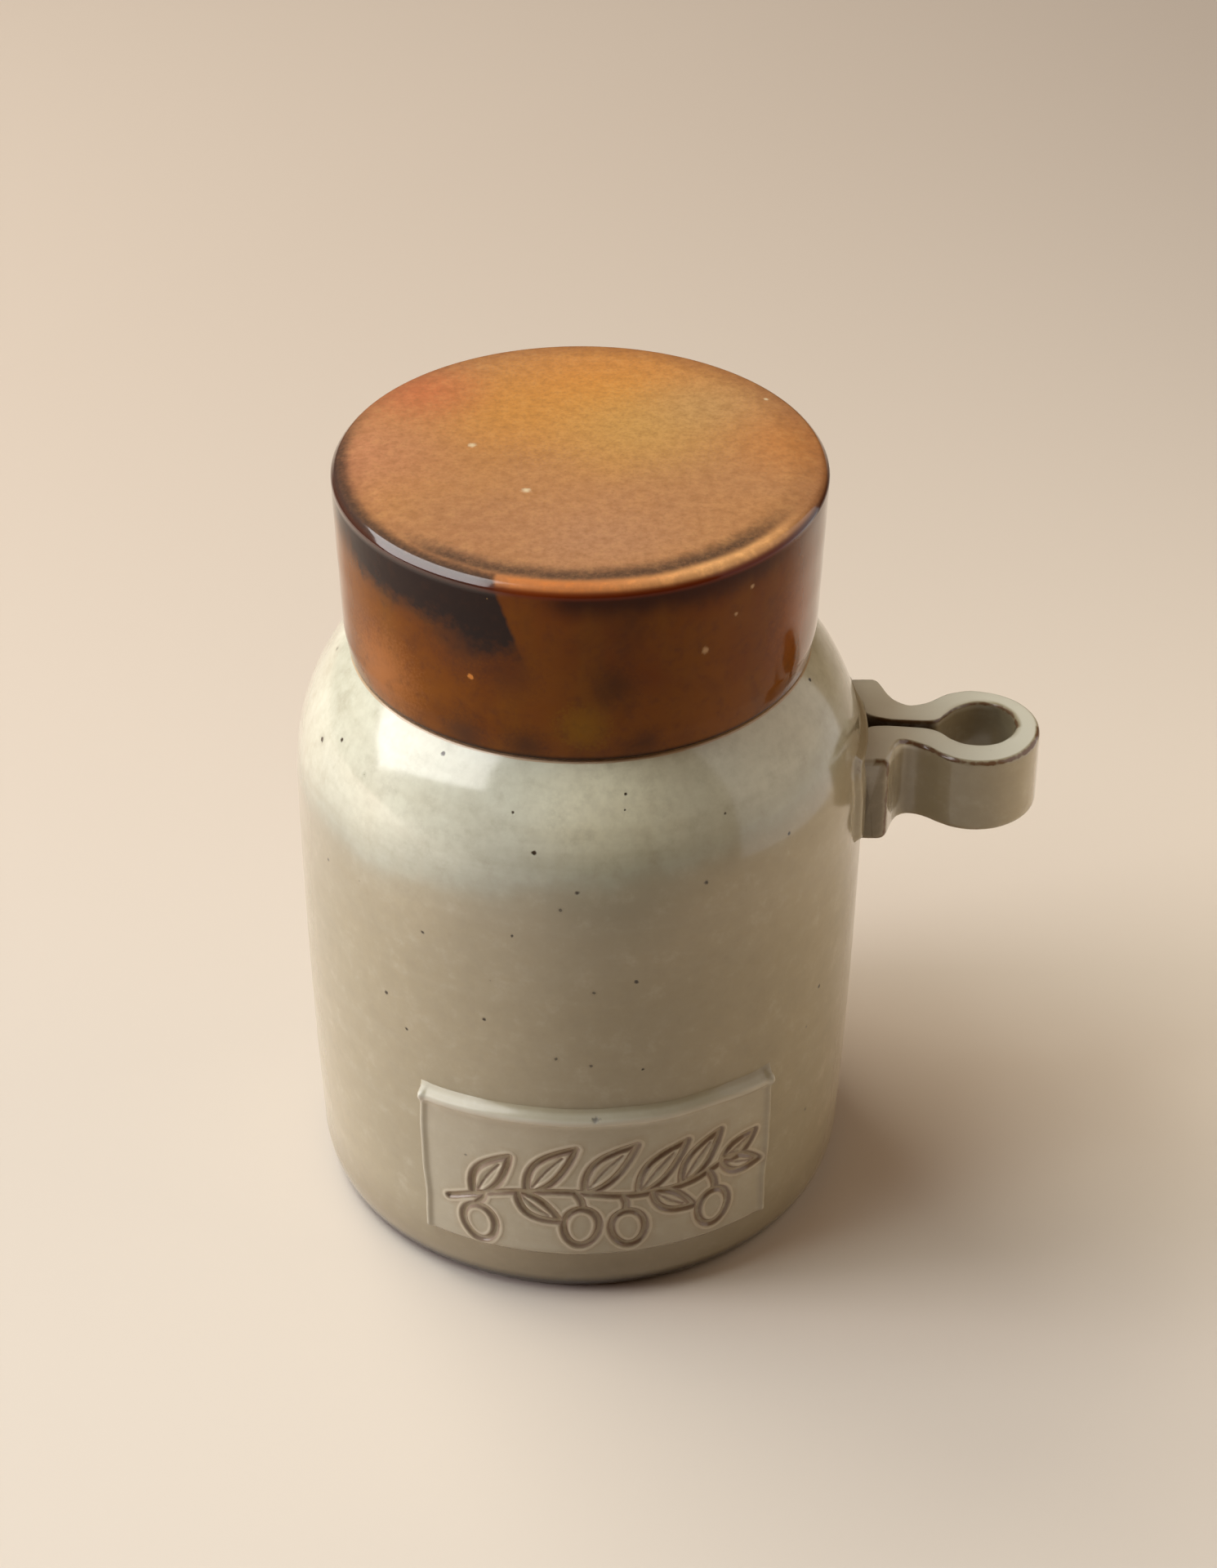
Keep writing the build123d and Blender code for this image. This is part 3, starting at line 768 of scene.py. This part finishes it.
# %% Helpers for finished meshes
def mesh_object(name, points, faces=(), edges=(), material=None, notes=()):
    """A smooth mesh object, from points in millimetres and one number per point for each note."""
    mesh = bpy.data.meshes.new(name)
    mesh.from_pydata([tuple(c * MM for c in p) for p in points], edges, faces)
    for title, values in dict(notes).items():
        note = mesh.attributes.new(title, "FLOAT", "POINT")
        note.data.foreach_set("value", np.asarray(values, np.float32))
    mesh.shade_smooth()
    if material:
        mesh.materials.append(material)
    return new_object(name, mesh)


def volume_of(mesh):
    """Signed volume in cubic metres: above zero when the faces point outwards."""
    mesh.calc_loop_triangles()
    corner = np.empty(len(mesh.vertices) * 3)
    mesh.vertices.foreach_get("co", corner)
    triangle = np.empty(len(mesh.loop_triangles) * 3, np.int32)
    mesh.loop_triangles.foreach_get("vertices", triangle)
    a, b, c = (corner.reshape(-1, 3)[triangle.reshape(-1, 3)[:, n]] for n in range(3))
    return float((a * np.cross(b, c)).sum() / 6)


def face_outwards(piece):
    """Turns the faces of a closed piece outwards and prints its measures."""
    if volume_of(piece.data) < 0:
        piece.data.flip_normals()
    print(piece.name, "size mm", [round(v / MM, 1) for v in piece.dimensions],
          "triangles", len(piece.data.loop_triangles),
          "volume cm3", round(volume_of(piece.data) * 1e6, 1))
    return piece


def turn_on_wheel(name, section, bare, glaze, **settings):
    """Turns a half section, in millimetres, into a plain mesh object by the wheel tree."""
    drawn = mesh_object(name + "_section", [(r, 0, z) for r, z in section],
                        edges=[(n, n + 1) for n in range(len(section) - 1)], notes={"bare": bare})
    modifier = drawn.modifiers.new("wheel", "NODES")
    modifier.node_group = wheel
    sockets = {s.name: s.identifier for s in wheel.interface.items_tree if s.in_out == "INPUT"}
    for title, value in {**settings, "Glaze": glaze}.items():
        modifier[sockets[title.replace("_", " ")]] = value
    graph = bpy.context.evaluated_depsgraph_get()
    mesh = bpy.data.meshes.new_from_object(drawn.evaluated_get(graph), depsgraph=graph)
    bpy.data.objects.remove(drawn)
    mesh.name = name
    return face_outwards(new_object(name, mesh))


# %% [markdown]
# The pot. It is one closed skin: flat base, small rounded heel, a wall that is barely barrelled, an
# elliptical shoulder, the flat seat that the lid stands on, the neck inside the lid, and then the
# inside of the pot down to its floor. The inside is modelled too, because the lid lifts off. Each
# point also says whether the clay is bare there: at the foot, on the seat and on the neck's rim.

# %% The pot
foot = BODY_RADIUS - WALL_FALL - HEEL_ROUND
well = FLOOR + FLOOR_CORNER
shoulder_end = math.degrees(SHOULDER_TURN)
mouth_end = math.degrees(math.acos((MOUTH - SHOULDER_CENTRE) / (SHOULDER_REACH - WALL)))
shoulder_heart = (SHOULDER_CENTRE, SHOULDER_HEIGHT)
outside = run((0, 0), (foot, 0), 8) + bow((foot, HEEL_HEIGHT), HEEL_ROUND, HEEL_HEIGHT, -90, 0, 14)
heights = np.linspace(HEEL_HEIGHT, SHOULDER_HEIGHT, 62)[1:-1]
outside += [(float(wall_radius(h)), float(h)) for h in heights]
outside += bow(shoulder_heart, SHOULDER_REACH, SHOULDER_RISE, 0, shoulder_end - 1.0, 36)
collar = soft_corners([outside[-1], (SEAT_RADIUS, SEAT), (NECK, SEAT), (NECK, RIM), (MOUTH, RIM),
                       (MOUTH, SEAT + 2)], (0.35, 0.8, 2.6, 2.6), 0.9)[1:]
corner = float(wall_radius(well)) - WALL - FLOOR_CORNER
inside = bow(shoulder_heart, SHOULDER_REACH - WALL, SHOULDER_RISE - SHOULDER_WALL, mouth_end, 0, 30)
heights = np.linspace(SHOULDER_HEIGHT, well, 34)[1:-1]
inside += [(float(wall_radius(h)) - WALL, float(h)) for h in heights]
inside += bow((corner, well), FLOOR_CORNER, FLOOR_CORNER, 0, -90, 14)
inside += run((corner, FLOOR), (0, FLOOR), 12)[1:] + [(0, FLOOR)]
section = outside + collar + inside
STEPS_ROUND, BARE_FOOT, BARE_RIM = 264, 0.9, 0.6
bare = [float(z < BARE_FOOT or (abs(z - SEAT) < 0.3 and r < SEAT_RADIUS + 0.2) or z > RIM - BARE_RIM)
        for r, z in section]
jar_body = turn_on_wheel("jar_body_glazed", section, bare, pale_glaze, Steps_round=STEPS_ROUND,
                         Ring_depth=0.00004, Ring_pitch=0.0085, Wander=0.0004, Seed=4.0)

# %% [markdown]
# The lid. A deep turned cap with a nearly flat top that rolls softly to a firm edge, a side that
# leans out a little towards the top, a thick rim that is tucked in at its foot and stands on the
# seat, and a hollow inside that clears the neck.

# %% The lid
TOP, OVERHANG, FLARE, CLEARANCE, TOP_WALL, TOP_FALL = SEAT + 48.2, 1.1, 1.85, 0.8, 7.0, 1.0
TOP_FLAT, EDGE_ACROSS, EDGE_DOWN, RIM_TUCK, RIM_TALL = 0.84, 1.45, 1.8, 0.9, 7.0
lid_rim, lid_bore = SEAT_RADIUS + OVERHANG, NECK + CLEARANCE
lid_edge = lid_rim + FLARE
section = soft_corners([(0, TOP), (lid_edge * TOP_FLAT, TOP), (lid_edge - EDGE_ACROSS, TOP - TOP_FALL),
                        (lid_edge, TOP - TOP_FALL - EDGE_DOWN), (lid_rim + 0.3, SEAT + RIM_TALL),
                        (lid_rim - RIM_TUCK, SEAT), (lid_bore, SEAT), (lid_bore, TOP - TOP_WALL),
                        (0, TOP - TOP_WALL)], (16.0, 2.2, 1.4, 12.0, 1.8, 1.2, 5.0), 1.0)
bare = [float(z < SEAT + 0.5) for r, z in section]
lid = turn_on_wheel("lid_glazed", section, bare, rust_glaze, Steps_round=STEPS_ROUND,
                    Ring_depth=0.00005, Ring_pitch=0.011, Wander=0.0003, Seed=9.0)

# %% [markdown]
# Clay laid on the wall. The pad behind the handle and the tablet are both slabs that follow the
# pot's curve. Each is a fine grid in two directions, along the arc and up the wall, and a height
# above the wall at every grid point. Where the height falls below the wall the slab dips into the
# pot, so its edge looks melted on. A coarse back, just under the pot's skin, closes the mesh.

# %% Helpers for clay laid on the wall
MARGIN = 0.9  # how far a slab's grid reaches past its edge, in millimetres


def ease(value, low, high):
    """0 at low, 1 at high, and smooth between, for whole arrays."""
    share = np.clip((np.asarray(value, float) - low) / (high - low), 0, 1)
    return share * share * (3 - 2 * share)


def ridge(distance, middle, width):
    """A soft ridge: 1 at its middle, falling away on both sides."""
    return np.exp(-((distance - middle) / width) ** 2)


def ripple(along, upward, length, seed):
    """A gentle made-by-hand unevenness from -1 to 1, from a few crossed waves with a fixed seed."""
    draw = np.random.default_rng(seed)
    total = np.zeros_like(along)
    for _ in range(7):
        heading, phase = draw.uniform(0, 2 * math.pi, 2)
        pace = 2 * math.pi / (length * draw.uniform(0.6, 1.8))
        total += np.sin((along * math.cos(heading) + upward * math.sin(heading)) * pace + phase)
    return total / 4.0


def laid_on_wall(name, facing, half_arc, low, high, spacing, raised, glaze, sunk=0.6):
    """A closed slab round a direction in degrees, with a margin that dips into the wall.
    raised(along, up) gives heights and notes, in millimetres."""
    half_arc, low, high = half_arc + MARGIN, low - MARGIN, high + MARGIN
    columns, rows = int(2 * half_arc / spacing) + 1, int((high - low) / spacing) + 1
    along, up_wall = np.meshgrid(np.linspace(-half_arc, half_arc, columns), np.linspace(low, high, rows))
    height, notes = raised(along, up_wall - low)
    border = np.ones_like(along, bool)
    border[1:-1, 1:-1] = False
    reach = wall_radius(up_wall) + np.where(border, -sunk, np.maximum(height, -sunk * 0.9))
    angle = math.radians(facing) + along / BODY_RADIUS
    points = np.stack([reach * np.cos(angle), reach * np.sin(angle), up_wall], -1).reshape(-1, 3)
    index = np.arange(rows * columns).reshape(rows, columns)
    quads = np.stack([index[:-1, :-1], index[:-1, 1:], index[1:, 1:], index[1:, :-1]], -1).reshape(-1, 4)
    back = [[index[0, n + 1], index[0, n], index[-1, n], index[-1, n + 1]]
            for n in range(1, columns - 2)]
    back.append(list(index[:, 0]) + [index[-1, 1], index[0, 1]])
    back.append(list(index[::-1, -1]) + [index[0, -2], index[-1, -2]])
    faces = quads.tolist() + [[int(v) for v in face] for face in back]
    return face_outwards(mesh_object(name, points.tolist(), faces, material=glaze,
                                     notes={title: values.ravel() for title, values in notes.items()}))


print("halfway up an ease", float(ease(0.5, 0, 1)))

# %% [markdown]
# The pad. Before the handle goes on, the potter luts a thin skin of clay to the wall. Only a narrow
# strip of it shows beside the handle's feet. It is a rounded rectangle on the same kind of grid.

# %% The pad behind the handle
PAD_THICK, PAD_HALF, PAD_LOW, PAD_HIGH, PAD_CORNER = 1.4, 23.0, 103.5, 128.0, 5.0


def pad_height(along, up_slab):
    """The pad's height and notes, from how deep each point lies inside its rounded rectangle."""
    half_tall = (PAD_HIGH - PAD_LOW) / 2
    side = np.abs(along) - (PAD_HALF - PAD_CORNER)
    level = np.abs(up_slab - MARGIN - half_tall) - (half_tall - PAD_CORNER)
    depth = PAD_CORNER - np.hypot(np.maximum(side, 0), np.maximum(level, 0))
    depth -= np.minimum(np.maximum(side, level), 0)
    height = PAD_THICK * ease(depth, -0.2, 1.7) - 0.55 * (1 - ease(depth, -0.9, 0.5))
    height += 0.08 * ripple(along, up_slab, 9.0, 5)
    return height, {"arris": 0.45 * ease(depth, 0.0, 0.5) * (1 - ease(depth, 0.9, 1.9))}


handle_pad = laid_on_wall("handle_pad_glazed", 0.0, PAD_HALF, PAD_LOW, PAD_HIGH,
                          0.45, pad_height, pale_glaze)

# %% [markdown]
# The handle. A flat strap of clay was folded into an open loop and its two ends spread on the pad
# as feet, so that a slot runs from the loop to the wall. A box cut to shape would lose the soft
# clay edges. So the strap is a section carried along a path: a rounded rectangle whose thickness,
# top and bottom change on the way. The path is drawn for each side as matching outer and inner
# points, seen from above, and smoothed.

# %% The strap handle, its path
def through(rows, steps):
    """A smooth curve through rows of numbers, steps points from each row to the next."""
    rows = np.asarray(rows, float)
    rows = np.vstack([2 * rows[0] - rows[1], rows, 2 * rows[-1] - rows[-2]])
    t = np.linspace(0, 1, steps, endpoint=False)[:, None]
    parts = []
    for a, b, c, d in zip(rows, rows[1:], rows[2:], rows[3:]):
        parts.append(0.5 * (2 * b + (c - a) * t + (2 * a - 5 * b + 4 * c - d) * t ** 2
                            + (3 * b - a - 3 * c + d) * t ** 3))
    return np.vstack(parts + [rows[-2:-1]])


# outer x, outer y, inner x, inner y, top, bottom: from the back foot's end to the front foot's end
STRAP = [
    (72.6, 18.7, 65.0, 18.4, 125.6, 103.4), (73.6, 16.6, 65.4, 16.6, 126.9, 102.7),
    (74.4, 14.0, 66.0, 14.0, 127.3, 102.5), (75.3, 11.4, 66.6, 10.6, 127.2, 102.5),
    (76.9, 9.2, 67.4, 6.8, 126.6, 102.7), (79.2, 8.3, 69.0, 3.6, 125.8, 103.1),
    (81.3, 8.6, 73.2, 2.0, 125.1, 103.4), (83.4, 9.6, 78.5, 1.4, 124.8, 103.6),
    (85.6, 10.9, 84.2, 1.3, 124.6, 103.7), (87.8, 12.6, 87.0, 2.1, 124.5, 103.7),
    (90.2, 14.3, 89.0, 4.4, 124.5, 103.7), (93.4, 15.4, 92.2, 7.5, 124.5, 103.7),
    (96.9, 15.8, 97.2, 9.5, 124.5, 103.7), (102.6, 14.2, 102.0, 8.2, 124.5, 103.7),
    (107.6, 10.6, 104.9, 4.9, 124.5, 103.7), (110.8, 5.3, 105.8, 1.2, 124.4, 103.7),
    (111.6, -0.6, 105.4, -1.6, 124.3, 103.7), (110.2, -6.6, 103.6, -4.6, 124.2, 103.7),
    (106.4, -11.8, 100.8, -6.7, 124.0, 103.7), (101.0, -15.0, 97.0, -7.5, 123.9, 103.7),
    (95.2, -15.7, 92.8, -6.9, 123.9, 103.7), (90.4, -14.6, 89.6, -4.9, 124.0, 103.7),
    (86.6, -12.4, 87.2, -2.2, 124.2, 103.7), (84.0, -10.1, 84.2, -0.7, 124.4, 103.6),
    (81.4, -8.5, 79.0, -0.3, 124.7, 103.5), (79.2, -7.9, 74.0, -0.6, 125.2, 103.2),
    (77.2, -8.7, 69.4, -2.2, 125.8, 102.8), (75.7, -10.8, 67.6, -6.4, 126.1, 102.5),
    (74.8, -13.2, 66.8, -11.0, 126.2, 102.5), (74.0, -15.6, 66.2, -14.6, 125.9, 102.6),
    (73.2, -17.5, 65.6, -17.3, 125.3, 103.0),
]
OUTER_ROUND, INNER_ROUND, END_ROUND, CROWN = 1.35, 0.9, 1.3, 0.18
strap_path = through(STRAP, 9)
print("sections along the strap", len(strap_path))

# %% [markdown]
# One section of the strap. It is walked corner by corner, and each corner is rounded: more on the
# outer side, which the fingers smoothed, than on the inner. It also says, point by point, what the
# glaze has to know: how sharp the clay is, and where the inner face and its upper lip are.

# %% The strap handle, its section
def strap_section(outer, inner, top, bottom, inset):
    """One rounded section: its points, how sharp the clay is there, which lie on the outer side, how far
    each is from the inner top edge, and how much each belongs to the inner face."""
    across = (outer - inner) / 2
    half_thick, half_tall = np.linalg.norm(across), (top - bottom) / 2
    away = across / max(half_thick, 1e-6)
    half_thick, half_tall = half_thick - inset, half_tall - inset
    points, sharp = [], []
    for sign_out, sign_up, start in ((1, 1, 0), (-1, 1, 90), (-1, -1, 180), (1, -1, 270)):
        size = (OUTER_ROUND if sign_out > 0 else INNER_ROUND) * (1.0 if sign_up > 0 else 1.3)
        size = min(size, half_thick * 0.95)
        for n in range(7):
            a = math.radians(start + 90 * n / 6)
            points.append((sign_out * (half_thick - size) + size * math.cos(a),
                           sign_up * (half_tall - size) + size * math.sin(a)))
            sharp.append((1.0 if sign_up > 0 else 0.6) * math.sin(math.pi * n / 6))
        last_out, last_rise = points[-1]
        level = start in (0, 180)
        end_out = -sign_out * (half_thick - min(1.2, half_thick * 0.9)) if level else last_out
        end_rise = last_rise if level else -sign_up * (half_tall - 1.2)
        gap = 5 if level else 15
        for n in range(1, gap + 1):
            share = n / (gap + 1)
            points.append(((1 - share) * last_out + share * end_out,
                           (1 - share) * last_rise + share * end_rise))
            sharp.append(0.0)
    points, sharp = np.array(points), np.array(sharp)
    crown = CROWN * np.cos(np.clip(points[:, 0] / half_thick, -1, 1) * math.pi / 2)
    points[:, 1] += np.where(points[:, 1] > 0, crown, -crown) * np.clip(half_thick / 3, 0, 1)
    ring = np.empty((len(points), 3))
    ring[:, :2] = (outer + inner) / 2 + points[:, :1] * away
    ring[:, 2] = (top + bottom) / 2 + points[:, 1]
    to_lip = np.hypot(points[:, 0] + half_thick, points[:, 1] - half_tall)
    inner_face = ease(-points[:, 0], half_thick - 1.0, half_thick - 0.2)
    return ring, sharp, points[:, 0] > 0, to_lip, inner_face


print("points round the strap", len(strap_section(*np.array(((9, 0), (1, 0))), 20, 0, 0)[0]))

# %% [markdown]
# Carrying the section along. The glaze breaks to rust on the near arm's outer edges and on the far
# arm's inner ones, and painted shade darkens the slot and the near foot's end face. Skinning a curve
# would give the same solid, but only rings that are laid one by one can carry these numbers. A fan of
# faces closes each end.

# %% The strap handle, built
def strap_rings(path):
    """The strap's rings of points, with its wear and its painted shade at each point."""
    gone = np.concatenate([[0], np.cumsum(np.hypot(*np.diff(path[:, :2], axis=0).T))])
    to_end = np.clip(END_ROUND - np.minimum(gone, gone[-1] - gone), 0, END_ROUND)
    insets = END_ROUND - np.sqrt(END_ROUND ** 2 - to_end ** 2 * 0.995)
    rings, wear, painted_shades = [], [], []
    for (ox, oy, ix, iy, top, bottom), inset, near_end in zip(path, insets, to_end / END_ROUND):
        ring, sharp, outside, to_lip, inner_face = strap_section(
            np.array((ox, oy)), np.array((ix, iy)), top, bottom, inset)
        front = oy < 0
        outer_wear = (1.0 if front else 0.45) * (0.35 + 0.65 * ease(ox, 75.5, 78.5))
        inner_wear = (0.35 if front else 0.95) * ease(ix, 69.0, 73.0)
        sharp = sharp * np.where(outside, outer_wear, inner_wear)
        end_wear = np.where(outside, 0.95, 0.3) * math.sin(math.pi * near_end) * front
        lip_wear = 0.45 * ease(ix, 101, 104) if front else 0.35 + 0.45 * ease(ix, 99, 103)
        lip = ridge(to_lip, 0, 1.4) * ease(ix, 84, 90) * lip_wear
        # Painted shade: the inner face is darkened deep in the slot near the wall and a little round the
        # loop's hole; the near foot's end face is darkened too.
        slot = np.maximum(0.92 * inner_face * (1 - ease(ix, 84.5, 88.5)), 0.22 * inner_face)
        rings.append(ring)
        wear.append(np.maximum(np.maximum(sharp, end_wear), lip))
        painted_shades.append(np.maximum(slot, 0.42 * near_end ** 2 * front))
    return rings, wear, painted_shades


def build_strap(name, path, glaze):
    """Skins the rings, closes both ends with a fan and adds the notes for the glaze."""
    rings, wear, painted_shades = strap_rings(path)
    per, last = len(rings[0]), (len(rings) - 1) * len(rings[0])
    points = np.vstack(rings + [rings[0].mean(0)[None], rings[-1].mean(0)[None]])
    step = [(m, (m + 1) % per) for m in range(per)]
    faces = [(n + a, n + b, n + b + per, n + a + per) for n in range(0, last, per) for a, b in step]
    faces += [(len(points) - 2, b, a) for a, b in step]
    faces += [(len(points) - 1, last + a, last + b) for a, b in step]
    wobble = ripple(points[:, 0] + points[:, 1], points[:, 2], 12.0, 11) * 0.09
    points[:, 2] += wobble * ease(points[:, 0], 74, 78)
    worn = np.concatenate(wear + [[0.0, 0.0]])
    # A painted highlight on the strap's level top, which also stands for glaze lying thicker there.
    painted_top_highlight = ease(points[:, 2], 123.0, 124.0) * (1 - ease(worn, 0.1, 0.5))
    return face_outwards(mesh_object(name, points.tolist(), faces, material=glaze, notes={
        "arris": worn, "painted_highlight": painted_top_highlight, "painted_shade": np.concatenate(painted_shades + [[0.0, 0.45]])}))


handle_strap = build_strap("handle_strap_glazed", strap_path, pale_glaze)

# %% [markdown]
# The tablet. It is a slab of clay laid on the wall while both were soft, with a picture cut into it
# by a pointed tool: an olive sprig. A normal map could fake the cuts, but they have to hold up when
# the jar is turned in the light, so they are real hollows in the grid. Every line of the drawing is
# a chain of points; each grid point looks up its distance to the nearest line, and that distance
# gives the groove and the burr of clay that the tool pushes up on both sides.

# %% Helpers that draw the sprig
def turned_to(shape, base, degrees):
    """A drawn shape turned about its start and moved to its place."""
    a = math.radians(degrees)
    return shape @ np.array([[math.cos(a), math.sin(a)], [-math.sin(a), math.cos(a)]]) + base


def leaf(base, degrees, length, width, bend):
    """A leaf's outline and its middle rib, growing from its base."""
    t = np.linspace(0, 1, 26)
    half = width / 2 * np.sin(np.pi * t ** 0.85) ** 0.9
    spine = np.stack([t * length, bend * length * np.sin(np.pi * t)], 1)
    side = np.stack([0 * t, half], 1)
    outline = np.vstack([spine + side, (spine - side)[::-1]])
    return turned_to(outline, base, degrees), turned_to(spine[3:20], base, degrees)


def olive(centre, degrees, length, width, stalk_from):
    """An olive's outline and its stalk."""
    t = np.linspace(0, 2 * np.pi, 42)
    round_it = np.stack([length / 2 * np.cos(t), width / 2 * np.sin(t) * (1 + 0.06 * np.cos(t))], 1)
    outline = turned_to(round_it, centre, degrees)
    middle = (outline[0] + np.asarray(stalk_from)) / 2 + (0.5, 0.0)
    return outline, through([stalk_from, middle, outline[0]], 8)


def nearest_line(along, up_slab, lines):
    """Distance from every grid point to the nearest of many broken lines."""
    best = np.full(along.shape, 99.0)
    for line in lines:
        low, high = line.min(0) - 3, line.max(0) + 3
        near = (along > low[0]) & (along < high[0]) & (up_slab > low[1]) & (up_slab < high[1])
        here_at = np.stack([along[near], up_slab[near]], 1)
        found = best[near]
        for a, b in zip(line[:-1], line[1:]):
            span = b - a
            share = np.clip(((here_at - a) @ span) / max(float(span @ span), 1e-9), 0, 1)
            found = np.minimum(found, np.linalg.norm(here_at - a - share[:, None] * span, axis=1))
        best[near] = found
    return best


TABLET_FACING, TABLET_HALF, TABLET_LOW, TABLET_HIGH = -87.0, 46.22, 13.6, 61.8
stem = through([(-38, 15), (-24, 20.5), (-8, 22.5), (8, 21), (22, 21.5), (31, 25)], 12)
# leaves: base, direction in degrees, length, width, bend
# olives: centre, direction, length, width, where the stalk starts
LEAVES = [((-31, 17.8), 58, 17, 6.4, 0.05), ((-17.5, 21.4), 52, 19, 6.6, 0.05),
          ((-3.5, 22.4), 50, 19, 6.6, 0.05), ((9.5, 21.0), 50, 18.5, 6.4, 0.05),
          ((20.5, 21.4), 55, 17, 6.0, 0.04), ((-20, 21.0), -38, 13, 5.4, -0.05),
          ((13, 21.0), -35, 13, 5.2, -0.05), ((31, 25), 30, 11, 5.0, 0.0),
          ((31, 25), -22, 12, 4.8, -0.04)]
OLIVES = [((-30, 9.2), 100, 11.0, 8.4, (-28.5, 18.9)), ((-4.5, 11.3), 84, 11.8, 8.6, (-6, 22.6)),
          ((7.0, 10.4), 98, 11.2, 8.4, (5.5, 21.2)), ((29, 11.2), 86, 11.0, 8.2, (27.5, 23.2))]
outlines, rib_lines = zip(*(leaf(*row) for row in LEAVES))
deep_lines = [stem, *outlines, *(line for row in OLIVES for line in olive(*row))]
print("lines in the sprig", len(deep_lines) + len(rib_lines))

# %% [markdown]
# The tablet's own shape comes first, without the sprig: a soft thick bevel along the top that
# catches the light, thin raised rims at both sides, and a lower edge that melts into the wall. Then
# the grooves are cut. The mesh tells the glaze where its grooves, their burrs and its edges are,
# where a thin brown wash is left around the drawing, and where a painted highlight makes its raised
# face paler, most of all the top bevel.

# %% The tablet
SLAB, BEVEL, SIDE_RIM, FOOT_RIM = 1.45, 1.15, 0.65, 0.20
GROOVE_DEPTH, RIB_DEPTH, BURR = 0.78, 0.40, 0.15


def tablet_height(along, up_slab):
    """The tablet's height and notes at every grid point."""
    up_slab = up_slab - MARGIN
    side, top = TABLET_HALF - np.abs(along), TABLET_HIGH - TABLET_LOW - up_slab
    hand = ripple(along, up_slab, 24.0, 21)
    top = top + 0.35 * ripple(along, 0 * along, 30.0, 22)
    side = side + 0.3 * ripple(0 * along, up_slab, 18.0, 23)
    height = SLAB + 0.16 * hand
    height += BEVEL * ridge(top, 2.9, 1.6) + SIDE_RIM * ridge(side, 1.7, 0.95)
    height += FOOT_RIM * ridge(up_slab, 3.2, 1.3)
    groove = nearest_line(along, up_slab, deep_lines)
    rib = nearest_line(along, up_slab, rib_lines)
    press = 0.85 + 0.15 * ripple(along, up_slab, 9.0, 24)
    height -= (GROOVE_DEPTH * press * (1 - ease(groove, 0.15, 1.15))
               + RIB_DEPTH * press * (1 - ease(rib, 0.0, 0.7)))
    height += BURR * ridge(groove, 1.5, 0.42) * (rib > 0.8)
    fall = np.minimum(ease(top, -0.3, 2.3), ease(side, -0.3, 1.3))
    fall = np.minimum(fall, ease(up_slab, -0.4, 3.0))
    height = (height + 0.5) * fall - 0.5
    return height, {
        "arris": (0.85 * ridge(side, 0.6, 0.6) + 0.55 * ridge(top, 1.0, 0.6)) * fall,
        "groove": np.maximum(ridge(groove, 0.72, 0.36), 0.7 * (1 - ease(rib, 0.1, 0.7))),
        "burr": ridge(groove, 1.6, 0.42),
        "wash": ridge(groove, 0, 2.6) * ease(top, 3.5, 5.5),
        # Painted highlight: the raised face is paler, most of all the top bevel.
        "painted_highlight": 0.22 * ease(height, 0.3, 1.2) + 0.35 * ease(height, 2.0, 2.7)}


front_tablet = laid_on_wall("front_tablet_glazed", TABLET_FACING, TABLET_HALF, TABLET_LOW, TABLET_HIGH,
                            0.25, tablet_height, pale_glaze)

# %% [markdown]
# The floor. It is a sheet of warm paper that the jar stands on, with painted shade: darker and
# warmer towards the back and a little towards the left.

# %% The floor
paper, shader, here, across, depth, _ = start_material("studio_paper")
# Painted shade: the paper is darker and warmer towards the back and a little towards the left.
painted_floor_shade = remap(times_plus(across, -0.45, depth), -0.35, 0.62)
wire(blend_colour(painted_floor_shade, (0.67, 0.580, 0.505), (0.575, 0.465, 0.385)), shader.inputs["Base Color"])
shader.inputs["Roughness"].default_value = 0.85
floor_mesh = bpy.data.meshes.new("studio_floor")
floor_mesh.from_pydata([(-3, -3, 0), (3, -3, 0), (3, 3, 0), (-3, 3, 0)], [], [(0, 1, 2, 3)])
floor_mesh.materials.append(paper)
studio_floor = new_object("studio_floor", floor_mesh)
print("floor laid")

# %% [markdown]
# Last come the ties to the solid model. Each dressed piece rides on the body it belongs to and
# stands in for one node of the solid model, which is hidden.

# %% Tie the pieces to the frame
for piece, body, node, slot in ((jar_body, "jar", "jar_body", "pale_glaze"),
                                (handle_pad, "jar", "handle_pad", "pale_glaze"),
                                (handle_strap, "jar", "handle_strap", "pale_glaze"),
                                (front_tablet, "jar", "front_tablet", "pale_glaze"),
                                (lid, "lid", "lid", "rust_glaze")):
    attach(piece, body)
    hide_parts(node)
